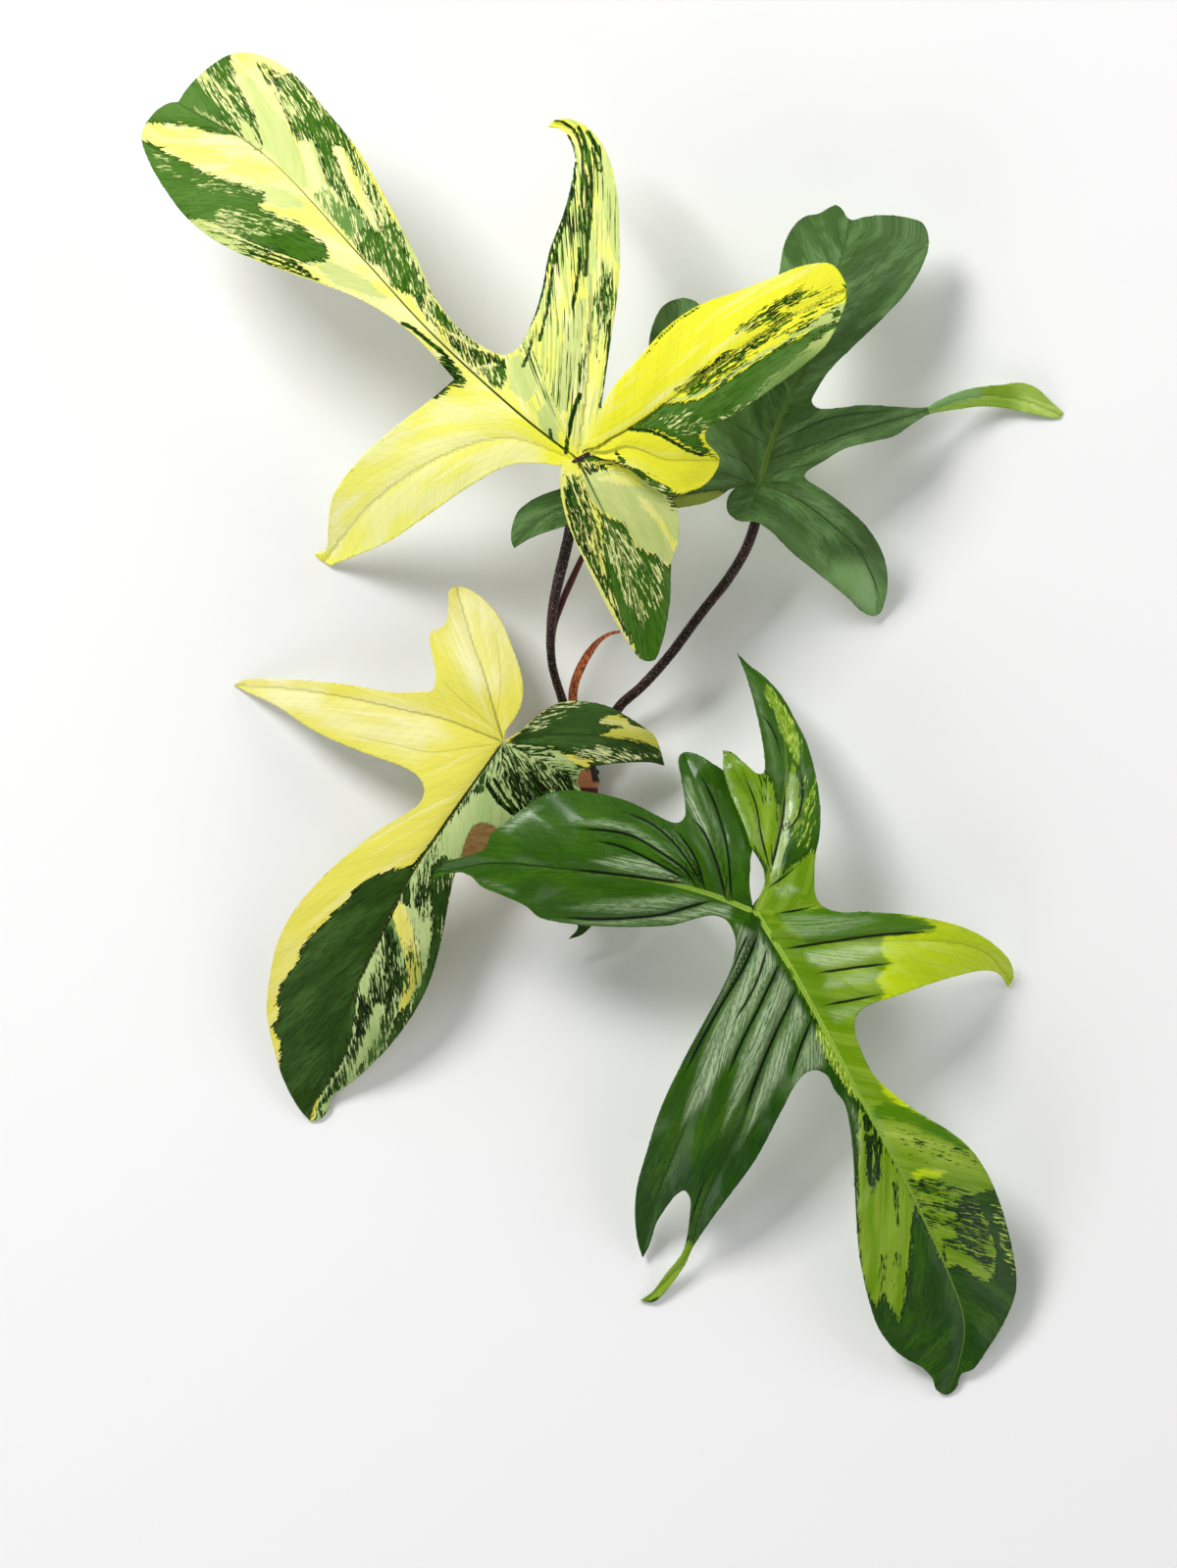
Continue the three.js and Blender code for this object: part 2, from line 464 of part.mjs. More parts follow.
// Lower right leaf, glossy, with six lobes and two curled tips
const lowerRightLeaf = {
  outline: [
    [59.1, -21.2, CORNER], [58.1, -15], [58.2, -8], [58.2, -3], [56.3, 4.3], [52.6, 13.6],
    [50.6, 18.5], [49.2, 23], [44.5, 27.8], [38.7, 30.8], [35.3, 30.8], [33.9, 29], [35, 21.6],
    [36.2, 13], [36, 9], [34.3, 7.2], [31.5, 7.2], [26.3, 9.6], [16.9, 14.2], [6.7, 16.9], [-2.8, 18],
    [-10.8, 16.9], [-18, 12.5], [-24.6, 7.4], [-30.2, 3, CORNER], [-31.8, -1.7], [-37, -4],
    [-44.2, -6], [-48.5, -9.5], [-49.8, -12.3, CORNER], [-45.6, -10.6], [-40, -9.8], [-36.5, -11.3],
    [-33, -14.6], [-26.7, -17.3], [-18, -21.3], [-13.7, -24.9], [-8, -26.5], [4, -28], [18, -28.4],
    [32, -27.7], [40, -25.5], [45.5, -24.5], [50, -26], [52.5, -30], [53.4, -35], [52, -42],
    [48.8, -49.3], [42.8, -60.4], [34.7, -75.4], [27.9, -89.9], [23.2, -104.4], [19.7, -117.3],
    [19.1, -127], [20.2, -136], [21.7, -140.8, CORNER], [24, -136.5], [26.4, -129], [29.5, -124],
    [33.4, -119.2], [36, -117.9], [37.8, -120.5], [37.6, -128], [36.4, -135.5], [35, -139.5],
    [29.6, -146.3], [25, -152.5], [20.7, -155.3, CORNER], [25.3, -155.9], [31.3, -150], [36.2, -143],
    [38.6, -137.6], [44.1, -129.2], [52.6, -117.7], [60.3, -107], [68.9, -90.8], [74, -81.4],
    [77.5, -77.8], [81, -77.1], [84.5, -79], [87, -83.9], [90.1, -87.9], [92.3, -97], [93.5, -110],
    [94.2, -125], [95.4, -140], [98.7, -155.7], [102.3, -165.5], [109, -173.6], [117, -178.4],
    [120.2, -181.8], [121.5, -185.6], [125.3, -187.4], [128.3, -185], [130, -180.3], [133.8, -178.8],
    [138.6, -172.3], [145.3, -161.1], [148.6, -151], [147.6, -139.5], [144, -125.1], [139.5, -113.5],
    [133.2, -104], [125.1, -97.3], [116.2, -91.9], [107.6, -85.6], [100.5, -78.9], [96.4, -71.3],
    [93.8, -63.5], [94.6, -58.3], [99, -54.8], [107, -52.1], [117.9, -48.2], [129.5, -44.7],
    [137.2, -43.2], [142.5, -44], [144.9, -47], [145.8, -48.8, CORNER], [147.5, -46], [146.8, -40.6],
    [141.8, -34.9], [133.3, -29.6], [124.1, -26.6], [112, -24.3], [98, -23.3], [88, -23.2],
    [82.5, -21], [80.4, -17.5], [80.1, -10], [80.4, -4], [81.8, 2.8], [82, 12], [81, 20.5],
    [77.6, 33.6], [73.3, 42.4], [68.7, 50.4], [62.6, 57.1], [58, 60.5], [53.7, 64.8, CORNER],
    [56.4, 58.5], [59.5, 48.2], [62.3, 35.5], [63.3, 27.5], [62.8, 24], [60.9, 23.7], [56.4, 27.2],
    [51.5, 31.2], [48.9, 31.6, CORNER], [50.2, 24.7], [53, 16], [57.6, 5], [59.9, -2.6], [62.9, -9.1],
    [63.4, -12.5], [61.8, -17.2],
  ],
  heights: [
    [59.8, -23, 48], [44, -17, 52], [30, -14, 55], [10, -10.5, 55], [-10, -8, 52], [-30, -6.5, 48],
    [-49, -11.5, 41], [-14, 15, 47], [2, 17, 47], [20, 12, 49], [33, 8, 49], [-13, -24, 44],
    [15, -28, 46], [35, -27, 48], [47, -3, 50], [43, 12, 45], [38, 27, 38], [55, 8, 45], [51, 19, 41],
    [63, -14, 49], [67, 0, 49], [70, 15, 46], [71, 30, 40], [66, 48, 28], [54, 64.5, 14], [54, 22, 45],
    [50, 31, 42], [80, -33, 47], [100, -34, 42], [120, -34, 32], [135, -36, 20], [145, -43, 6],
    [145.8, -48.6, 0.6], [90, -23.5, 46], [115, -48.5, 36], [73, -44, 47], [85, -66, 44], [95, -85, 42],
    [107, -107, 38], [117, -127, 30], [126, -147, 20], [132, -166, 9], [125.3, -187.3, 0.6],
    [94, -120, 28], [98, -152, 16], [110, -174, 6], [148, -148, 12], [140, -115, 28], [120, -94.5, 38],
    [98.7, -75.8, 43], [57, -40, 46], [50, -60, 42], [44, -80, 37], [37, -100, 29], [29, -118, 18],
    [21.7, -140, 3], [45, -120, 22], [38, -135, 11], [28, -151, 3], [20.8, -155.4, 0.6], [70, -88, 36],
    [56, -112, 26], [80, -78, 43],
  ],
  ribs: [
    [[60, -23], [73, -44], [85, -66], [95, -85], [107, -107], [117, -127], [126, -147], [132, -164]],
    [[58, -22.5], [44, -17], [30, -13.5], [10, -10.5], [-10, -8], [-30, -6.7], [-47, -9.5]],
    [[51, -19.5], [47.5, -6], [44.5, 6], [40, 18], [36.5, 28]],
    [[60.5, -22], [64, -14], [66, -2], [69, 12], [70.5, 28], [67, 46], [56, 62]],
    [[64, -14], [61.5, 4], [57, 18], [50, 30]],
    [[66, -32], [85, -33.5], [105, -33], [125, -33.5], [138, -37], [146, -46]],
    [[61, -26], [57, -42], [49, -62], [42, -82], [34, -102], [26, -122], [22, -138]],
    [[72, -44], [66, -66], [59, -86], [50, -106], [42, -124], [37, -140], [24, -154]],
  ],
};

const group = new THREE.Group();

function addPiece(name, geometry, color, roughness) {
  const material = new THREE.MeshStandardMaterial({ color, roughness, metalness: 0 });
  const mesh = new THREE.Mesh(geometry, material);
  mesh.name = name;
  group.add(mesh);
}

// Stem: a thick shoot with a swelling at each node, which tapers to its growing tip
const stemPath = [
  [1, -16, STEM_AXIS_HEIGHT], [0, 0, STEM_AXIS_HEIGHT], [0, 18, STEM_AXIS_HEIGHT],
  [-1, 34, STEM_AXIS_HEIGHT],
];
const stemTip = [-3, 46, STEM_AXIS_HEIGHT + 1];
const stemSwelling = [0.94, 1, 1.1, 0.99, 1.1, 0.98, 1.08, 0.92, 0.96, 0.7, 0.34];

function stemBody(clearance) {
  const path = [...stemPath, [stemTip[0], stemTip[1] + 2 * clearance, stemTip[2]]];
  return sweep(path, 20, (t) => roundSection(STEM_RADIUS * along(stemSwelling, t) + clearance));
}

// Short aerial roots that lean down from the stem's sides
const aerialRootPaths = [
  [[3, 3, 5], [7.5, 5, 3.8], [11, 3.5, 2]],
  [[-3, -5, 5], [-7.5, -4, 3.6], [-11, -6, 1.8]],
  [[3, 25, 5], [7.5, 24, 4], [10, 22, 2]],
];

function aerialRoot(path) {
  return sweep(path, 4, (t) => roundSection(AERIAL_ROOT_RADIUS * (1 - AERIAL_ROOT_TAPER * t)));
}

// Block under the surface, which cuts the stem's underside flat
function blockBelowSurface() {
  const [width, length, depth] = [60, 120, 20];
  const block = new THREE.BoxGeometry(width, length, depth).translate(0, stemPath[2][1], -depth / 2);
  block.deleteAttribute('normal');
  block.deleteAttribute('uv');
  return mergeVertices(block);
}

function buildStem() {
  const rooted = aerialRootPaths.reduce(
    (stem, path) => stem.add(toManifold(aerialRoot(path))),
    toManifold(stemBody(0)),
  );
  return fromManifold(rooted.subtract(toManifold(blockBelowSurface())));
}

addPiece('stem', buildStem(), 0x5a5a2c, 0.7);

// Leaf blades
const upperLeftPlan = bladePlan(upperLeftLeaf);
const upperRightPlan = bladePlan(upperRightLeaf);
const leftPlan = bladePlan(leftLeaf);
const lowerRightPlan = bladePlan(lowerRightLeaf);

function bladeBody(leaf, plan) {
  return bladeSheet(leaf, plan, BLADE_THICKNESS / 2, BLADE_THICKNESS / 2);
}

addPiece('leaf_upper_left', bladeBody(upperLeftLeaf, upperLeftPlan), 0xd9dc5a, 0.45);
addPiece('leaf_upper_right', bladeBody(upperRightLeaf, upperRightPlan), 0x3f6a31, 0.5);
addPiece('leaf_left', bladeBody(leftLeaf, leftPlan), 0xcfcf4e, 0.5);
addPiece('leaf_lower_right', bladeBody(lowerRightLeaf, lowerRightPlan), 0x3a7a1c, 0.3);

// Leaf stalks: each leaves the stem and ends under its blade, where the blade's ribs meet
const upperLeftStalkPath = [
  [-2, 38, 7], [-6, 50, 14], [-8.9, 60, 21], [-9.6, 70, 28], [-8.8, 80, 34], [-6.8, 90, 39.5],
  [-4.4, 100, 43], [-2.6, 109, 46.5], [-2.2, 116.5, 49.5], [-2.6, 122.8, 55.5], [-3.6, 128.5, 68],
  [-5, 134, 84],
];
const upperRightStalkPath = [
  [1.5, 24, 6.2], [6, 31, 8.5], [10, 39, 10.5], [13.8, 46.5, 12.5], [21.5, 53.5, 15.5],
  [30.5, 63.5, 18.5], [41, 77.5, 23], [51.5, 91, 27.5], [57, 100.5, 30], [60, 109, 32.5],
  [62, 117, 35.5], [63.5, 124, 42.5],
];
const leftStalkPath = [[-1, 10, 6.2], [-8, 15, 11], [-15, 21, 19], [-22, 27, 28], [-28.5, 31.5, 39]];
const lowerRightStalkPath = [
  [1, 6, 6.2], [8, 4, 9], [18, -1, 16], [30, -8, 26], [42, -15, 35], [52, -21, 42], [62, -25.5, 49],
];
const evenStalk = [1, 1];
const slenderStalk = [0.95, 0.8, 0.85, 1.05, 1.08, 1.08, 1.08];

function stalkBody(path, thickness, clearance) {
  const steps = Math.round(path.length * 1.5);
  return sweep(path, steps, (t) => roundSection(STALK_RADIUS * along(thickness, t) + clearance));
}

// A stalk's upper end is cut to the underside of its blade by a thicker sheet on the blade's plan
function buildStalk(path, thickness, leaf, plan) {
  const blade = bladeSheet(leaf, plan, 2 * STALK_RADIUS, BLADE_THICKNESS / 2 + TOUCHING_GAP);
  return cutAway(stalkBody(path, thickness, 0), [stemBody(TOUCHING_GAP), blade]);
}

const STALK_COLOR = 0x3a1512;
addPiece(
  'stalk_upper_left',
  buildStalk(upperLeftStalkPath, slenderStalk, upperLeftLeaf, upperLeftPlan),
  STALK_COLOR,
  0.6,
);
addPiece(
  'stalk_upper_right',
  buildStalk(upperRightStalkPath, evenStalk, upperRightLeaf, upperRightPlan),
  STALK_COLOR,
  0.6,
);
addPiece('stalk_left', buildStalk(leftStalkPath, evenStalk, leftLeaf, leftPlan), STALK_COLOR, 0.6);
addPiece(
  'stalk_lower_right',
  buildStalk(lowerRightStalkPath, evenStalk, lowerRightLeaf, lowerRightPlan),
  STALK_COLOR,
  0.6,
);

// New leaf spear: still rolled up, it runs under the upper left stalk and then leans away from it
const spearPath = [
  [-4.3, 45.8, 8.2], [-7.6, 55, 14], [-9.2, 63, 19.5], [-8.8, 73, 26], [-6.2, 81, 30], [-3.2, 88, 33.5],
  [0.5, 96, 37], [5, 105.5, 41],
];
const spearThickness = [0.9, 1, 1, 1, 1, 0.95, 0.8, 0.3];

function buildSpear() {
  const body = sweep(spearPath, 14, (t) => roundSection(SPEAR_RADIUS * along(spearThickness, t)));
  const stalk = stalkBody(upperLeftStalkPath, slenderStalk, TOUCHING_GAP);
  return cutAway(body, [stemBody(TOUCHING_GAP), stalk]);
}

addPiece('new_leaf_spear', buildSpear(), 0x4a1c16, 0.55);

// Dry strap sheath: a curled red-brown remnant that stands up from the stem
const strapPath = [
  [1.5, 32, 12.2], [0, 40, 17], [-2, 48.5, 21.5], [-1.5, 54, 24.5], [1, 60.5, 28], [4, 65.5, 30.5],
  [7, 69, 32], [10.5, 71.2, 33], [14, 72, 33.5],
];
const strapWidths = [0.9, 0.95, 1, 1, 1, 1, 0.9, 0.5, 0.3];

function buildStrap() {
  const body = sweep(strapPath, 16, (t) =>
    stripSection(STRAP_HALF_WIDTH * along(strapWidths, t), STRAP_THICKNESS, 0.25));
  return cutAway(body, [stemBody(TOUCHING_GAP)]);
}

addPiece('dry_strap_sheath', buildStrap(), 0x7a3d22, 0.7);

// Dry papery sheath: a broad tan remnant that spreads from the stem under the left leaf's notch
const paperPath = [[-4, 4, 8], [-11, 4, 11.5], [-20, 3.5, 16], [-30, 2, 20], [-43, -2, 23.5]];
const paperWidths = [0.45, 0.85, 1, 1, 0.9, 0.35];

function buildPaperSheath() {
  const body = sweep(paperPath, 10, (t) =>
    stripSection(PAPER_HALF_WIDTH * along(paperWidths, t), PAPER_THICKNESS, 1.8));
  return cutAway(body, [stemBody(TOUCHING_GAP)]);
}

addPiece('dry_papery_sheath', buildPaperSheath(), 0xa86f4a, 0.8);

export default group;
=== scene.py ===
import math

import bmesh
import bpy
import numpy as np
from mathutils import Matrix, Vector, noise


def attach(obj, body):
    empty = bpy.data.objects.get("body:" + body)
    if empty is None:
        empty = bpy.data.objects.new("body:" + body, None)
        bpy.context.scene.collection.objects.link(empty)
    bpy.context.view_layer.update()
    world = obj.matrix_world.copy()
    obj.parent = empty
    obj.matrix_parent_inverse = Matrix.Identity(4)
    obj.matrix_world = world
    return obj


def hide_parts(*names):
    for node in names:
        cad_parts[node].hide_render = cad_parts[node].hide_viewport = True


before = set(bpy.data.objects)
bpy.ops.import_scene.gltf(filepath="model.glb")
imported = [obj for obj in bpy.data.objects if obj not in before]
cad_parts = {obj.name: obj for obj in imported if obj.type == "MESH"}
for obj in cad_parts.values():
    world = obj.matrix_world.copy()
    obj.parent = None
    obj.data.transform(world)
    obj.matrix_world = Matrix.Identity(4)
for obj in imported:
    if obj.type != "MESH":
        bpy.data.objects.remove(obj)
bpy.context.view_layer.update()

# Stem: a short thick shoot, olive green under brown papery rings, with an old leaf scar at each node.
# It grew as one piece, was cut at its lower end and tapers to its growing tip. Plan points are in
# millimetres, as they look from the eye, and so is every list of points in this file.
MM = 0.001
EYE = Vector((3.3, 20.2, 2500.0))
STEM_RADIUS = 6.6
STEM_AXIS_HEIGHT = 6.2
STEM_LINE = [
    (1, -16, STEM_AXIS_HEIGHT), (0, 0, STEM_AXIS_HEIGHT), (0, 18, STEM_AXIS_HEIGHT),
    (-1, 34, STEM_AXIS_HEIGHT), (-3, 46, STEM_AXIS_HEIGHT + 1),
]
STEM_SWELLING = [0.94, 1, 1.1, 0.99, 1.1, 0.98, 1.08, 0.92, 0.96, 0.7, 0.34]
STEM_NODES = [0.2, 0.4, 0.6, 0.8]
NODE_WIDTH = 1.3
FLOOR_GAP = 0.02


def true_place(points):
    """Points as they look from the eye, moved to where they are: higher ones are drawn inwards."""
    points = np.array(points, float)
    closer = 1 - points[:, 2:3] / EYE.z
    return np.hstack([np.array(EYE[:2]) + (points[:, :2] - EYE[:2]) * closer, points[:, 2:3]])


def curve_run(points, pieces):
    """Smooth centripetal curve through points. pieces gives the number of steps for each stretch."""
    points = np.array(points, float)
    ends = np.vstack([2 * points[0] - points[1], points, 2 * points[-1] - points[-2]])
    run = []
    for i, count in enumerate(pieces):
        p0, p1, p2, p3 = ends[i:i + 4]
        d0, d1, d2 = (math.sqrt(np.linalg.norm(b - a)) for a, b in ((p0, p1), (p1, p2), (p2, p3)))
        leave = ((p1 - p0) / d0 - (p2 - p0) / (d0 + d1) + (p2 - p1) / d1) * d1
        reach = ((p2 - p1) / d1 - (p3 - p1) / (d1 + d2) + (p3 - p2) / d2) * d1
        for t in np.arange(count) / count:
            square, cube = t * t, t * t * t
            run.append(
                p1 + leave * t + (3 * (p2 - p1) - 2 * leave - reach) * square
                + (leave + reach - 2 * (p2 - p1)) * cube
            )
    return np.array(run + [points[-1]])


def even_curve(points, step):
    """The same curve, with points a step apart all along it."""
    dense = curve_run(points, [40] * (len(points) - 1))
    length = np.concatenate([[0], np.cumsum(np.linalg.norm(np.diff(dense, axis=0), axis=1))])
    places = np.linspace(0, length[-1], max(2, round(length[-1] / step)) + 1)
    return np.stack([np.interp(places, length, dense[:, k]) for k in range(dense.shape[1])], axis=1)


def along(values, t):
    """Value at share t of a list of values spaced evenly along a length."""
    return float(np.interp(t * (len(values) - 1), range(len(values)), values))


def extrude_end(bm, face):
    """Extrudes a tube's end face, with its edges, so that no face stays inside."""
    grown = bmesh.ops.extrude_face_region(bm, geom=[face, *face.edges])["geom"]
    return next(part for part in grown if isinstance(part, bmesh.types.BMFace))


def sweep(bm, line, section):
    """Extrudes a section along a line of true points. section(t) gives the ring at share t of the
    length, as (sideways, upwards) pairs. Each ring is a plane across the line."""
    ahead = np.gradient(line, axis=0)
    face = None
    for k, (centre, way) in enumerate(zip(line, ahead)):
        way = Vector(way).normalized()
        sideways = Vector((way.y, -way.x, 0)).normalized()
        upwards = sideways.cross(way)
        ring = [Vector(centre) + sideways * s + upwards * u for s, u in section(k / (len(line) - 1))]
        if face is None:
            corners = [bm.verts.new(place) for place in ring]
            face = bm.faces.new(corners)
            continue
        order = {corner.co[:]: number for number, corner in enumerate(corners)}
        face = extrude_end(bm, face)
        corners = sorted(face.verts, key=lambda corner: order[corner.co[:]])
        for corner, place in zip(corners, ring):
            corner.co = place
    return face


def round_section(radius, sides):
    turns = [2 * math.pi * i / sides for i in range(sides)]
    return [(radius * math.cos(turn), radius * math.sin(turn)) for turn in turns]


def finish_piece(bm, name, materials, nodes=(), closed=True):
    """Turns a bmesh in millimetres into a named piece of the plant in metres."""
    if closed:
        bmesh.ops.recalc_face_normals(bm, faces=bm.faces)
    bmesh.ops.scale(bm, vec=(MM, MM, MM), verts=bm.verts)
    mesh = bpy.data.meshes.new(name)
    bm.to_mesh(mesh)
    bm.free()
    for material in materials:
        mesh.materials.append(material)
    mesh.shade_smooth()
    piece = bpy.data.objects.new(name, mesh)
    bpy.context.scene.collection.objects.link(piece)
    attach(piece, "root")
    if nodes:
        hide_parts(*nodes)
    return piece


def tint(red, green, blue):
    """A screen colour, 0 to 255, as the shader's linear colour."""
    shares = [c / 255 for c in (red, green, blue)]
    return (*(s / 12.92 if s <= 0.04045 else ((s + 0.055) / 1.055) ** 2.4 for s in shares), 1.0)


def node(tree, kind, inputs=None, **settings):
    """Adds a shader node. inputs maps a socket's name or number to its value, or to what feeds it."""
    made = tree.nodes.new(f"ShaderNode{kind}")
    for key, value in settings.items():
        setattr(made, key, value)
    for key, value in (inputs or {}).items():
        if isinstance(value, bpy.types.NodeSocket):
            tree.links.new(value, made.inputs[key])
        else:
            made.inputs[key].default_value = value
    return made


def calculate(tree, operation, a, b=0.0, clamp=False):
    return node(tree, "Math", {0: a, 1: b}, operation=operation, use_clamp=clamp).outputs[0]


def multiply(tree, a, b):
    return calculate(tree, "MULTIPLY", a, b)


def multiply_add(tree, value, factor, addend):
    made = node(tree, "Math", {0: value, 1: factor, 2: addend}, operation="MULTIPLY_ADD")
    return made.outputs[0]


def step_between(tree, value, low, high):
    """0 where value is under low, 1 where it is over high, smooth between them."""
    limits = {"Value": value, "From Min": low, "From Max": high}
    return node(tree, "MapRange", limits, interpolation_type="SMOOTHSTEP").outputs[0]


def blend_colors(tree, share, a, b):
    return node(tree, "Mix", {0: share, 6: a, 7: b}, data_type="RGBA").outputs[2]


def new_material(name, roughness, coat=0.0, gloss=0.2):
    """A material with its shader ready, and the tree to add to."""
    material = bpy.data.materials.new(name)
    material.use_nodes = True
    tree = material.node_tree
    shader = tree.nodes["Principled BSDF"]
    shader.inputs["Roughness"].default_value = roughness
    shader.inputs["Specular IOR Level"].default_value = gloss
    shader.inputs["Coat Weight"].default_value = coat
    shader.inputs["Coat Roughness"].default_value = 0.15
    return material, tree, shader


def paint(tree, shader, color):
    tree.links.new(color, shader.inputs["Base Color"])


def speckle(tree, size, detail=3.0, stretch=(1, 1, 1)):
    """Noise on the piece's own place, with grains of about the given size in millimetres."""
    place = node(tree, "TexCoord").outputs["Object"]
    scaled = node(tree, "Mapping", {"Vector": place, "Scale": stretch}).outputs[0]
    grains = {"Vector": scaled, "Scale": 1 / (size * MM), "Detail": detail}
    return node(tree, "TexNoise", grains).outputs["Fac"]


def bump(tree, shader, height, depth):
    """Feeds a height of 0 to 1 into the shader's normal. depth is in millimetres."""
    made = node(tree, "Bump", {"Height": height, "Distance": depth * MM})
    tree.links.new(made.outputs[0], shader.inputs["Normal"])


def push_out(bm, amount):
    """Moves each vertex along its normal by amount(place), in millimetres."""
    bm.normal_update()
    moves = [(vert, vert.normal * amount(vert.co)) for vert in bm.verts]
    for vert, move in moves:
        vert.co += move


def set_attribute(mesh, name, values):
    layer = mesh.attributes.new(name, "FLOAT", "POINT")
    layer.data.foreach_set("value", np.asarray(values, np.float32))


def read_attribute(tree, name):
    return node(tree, "Attribute", attribute_name=name).outputs["Fac"]


def round_off(bm, face, radius, steps=3):
    """Closes a tube's end with a low dome: rings drawn in towards the middle of the end face."""
    centre, outwards = face.calc_center_median(), face.normal.copy()
    for k in range(1, steps + 1):
        before, angle = (math.pi / 2 * ring / (steps + 0.4) for ring in (k - 1, k))
        shrink = math.cos(angle) / math.cos(before)
        face = extrude_end(bm, face)
        rise = radius * 0.5 * (math.sin(angle) - math.sin(before))
        for vert in face.verts:
            vert.co = centre + (vert.co - centre) * shrink + outwards * rise
        centre = face.calc_center_median()


stem_line = true_place(even_curve(STEM_LINE, 0.7))
stem_length = STEM_LINE[-1][1] - STEM_LINE[0][1]


def node_ring(share):
    """1 on a node's raised ring and its leaf scar, 0 between the nodes."""
    return max(math.exp(-(((share - place) * stem_length / NODE_WIDTH) ** 2)) for place in STEM_NODES)


def stem_relief(place):
    share = (place.y - STEM_LINE[0][1]) / stem_length
    fibres = noise.noise(Vector((place.x * 1.6, place.y * 0.25, place.z * 1.6)))
    creases = noise.noise(Vector((place.x * 0.5, place.y * 2.2, place.z * 0.5)))
    return 0.32 * node_ring(share) + 0.16 * fibres + 0.1 * creases


def stem_section(share):
    return round_section(STEM_RADIUS * 0.97 * along(STEM_SWELLING, share), 48)


bm = bmesh.new()
tip_face = sweep(bm, stem_line, stem_section)
bm.normal_update()
round_off(bm, tip_face, STEM_RADIUS * STEM_SWELLING[-1])
bmesh.ops.recalc_face_normals(bm, faces=bm.faces)
push_out(bm, stem_relief)

# Aerial roots: stubs that lean down from the stem and thin out towards a blunt tip
AERIAL_ROOT_RADIUS = 1.5
AERIAL_ROOT_LINES = [
    [(3, 3, 5), (7.5, 5, 3.8), (11, 3.5, 2)],
    [(-3, -5, 5), (-7.5, -4, 3.6), (-11, -6, 1.8)],
    [(3, 25, 5), (5, 24.5, 4), (6.5, 24, 3)],
]
for line in AERIAL_ROOT_LINES:
    sweep(
        bm, true_place(even_curve(line, 0.6)),
        lambda share: round_section(AERIAL_ROOT_RADIUS * (1 - 0.5 * share ** 2), 16),
    )
for vert in bm.verts:
    vert.co.z = max(vert.co.z, FLOOR_GAP)

stem_skin, tree, shader = new_material("stem_skin", 0.55)
ring = read_attribute(tree, "ring")
flecks = speckle(tree, 0.5, 4)
fibres = speckle(tree, 1.2, 4, (1, 0.18, 1))
green = blend_colors(tree, fibres, tint(78, 92, 38), tint(126, 132, 62))
papery = blend_colors(tree, flecks, tint(184, 106, 74), tint(232, 156, 114))
husky = calculate(tree, "ADD", ring, multiply(tree, fibres, 0.7))
bark = blend_colors(tree, step_between(tree, husky, 0.62, 0.8), green, papery)

# A maroon collar rings the stem above its middle, and painted shade darkens its right side above it,
# along a slanting edge. The shader's places are in metres.
place = node(tree, "TexCoord").outputs["Object"]
across, lengthwise, _ = node(tree, "SeparateXYZ", {0: place}).outputs
collar_start = step_between(tree, lengthwise, 0.010, 0.012)
collar = multiply(tree, collar_start, step_between(tree, lengthwise, 0.0196, 0.0184))
right_side_mask = step_between(tree, multiply_add(tree, lengthwise, 0.17, across), 0.0078, 0.0086)
painted_side_shade = multiply(tree, right_side_mask, step_between(tree, lengthwise, 0.0200, 0.0215))
bark = blend_colors(tree, collar, bark, tint(84, 22, 26))
bark = blend_colors(tree, painted_side_shade, bark, tint(30, 14, 14))
paint(tree, shader, bark)
tree.links.new(step_between(tree, flecks, -0.4, 1.3), shader.inputs["Roughness"])
bump(tree, shader, fibres, 0.25)
stem = finish_piece(bm, "stem_shoot", [stem_skin], ["stem"])
set_attribute(
    stem.data, "ring",
    [node_ring((v.co.y / MM - STEM_LINE[0][1]) / stem_length) ** 0.12 for v in stem.data.vertices],
)

# Leaf stalks: round, dark maroon and rough with small pale-tipped warts. Each swells a little where
# it leaves the stem and where it meets its blade, and is one with both.
STALK_RADIUS = 1.8
SLENDER_STALK = [0.95, 0.8, 0.85, 1.05, 1.08, 1.08, 1.08]
EVEN_STALK = [1, 0.97, 0.95, 0.95, 0.97, 1]
STALKS = {
    "upper_left": (SLENDER_STALK, [
        (-2, 38, 7), (-6, 50, 14), (-8.9, 60, 21), (-9.6, 70, 28), (-8.8, 80, 34), (-6.8, 90, 39.5),
        (-4.4, 100, 43), (-2.6, 109, 46.5), (-2.2, 116.5, 49.5), (-2.6, 122.8, 55.5),
        (-3.6, 128.5, 68), (-4.4, 132, 80.5),
    ]),
    "upper_right": (EVEN_STALK, [
        (1.5, 24, 6.2), (6, 31, 8.5), (10, 39, 10.5), (13.8, 46.5, 12.5), (21.5, 53.5, 15.5),
        (30.5, 63.5, 18.5), (41, 77.5, 23), (51.5, 91, 27.5), (57, 100.5, 30), (60, 109, 32.5),
        (62, 117, 35.5), (63, 122, 40.5),
    ]),
    "left": (EVEN_STALK, [(-1, 10, 6.2), (-8, 15, 11), (-15, 21, 19), (-22, 27, 28), (-27, 31.5, 36.5)]),
    "lower_right": (EVEN_STALK, [
        (1, 6, 6.2), (8, 4, 9), (18, -1, 16), (30, -8, 26), (42, -15, 35), (52, -21, 42),
        (59, -24, 46.5),
    ]),
}


# The upper left stalk's head bends over into its blade. It shows from above, in a slit between lobes.
STALK_HEAD_RADIUS = 0.75
STALK_HEAD = [(-4, 130, 79), (-1.6, 129.9, 81.6), (0.6, 130.9, 82.9), (2.8, 132.2, 83.2), (4.8, 133.2, 82)]


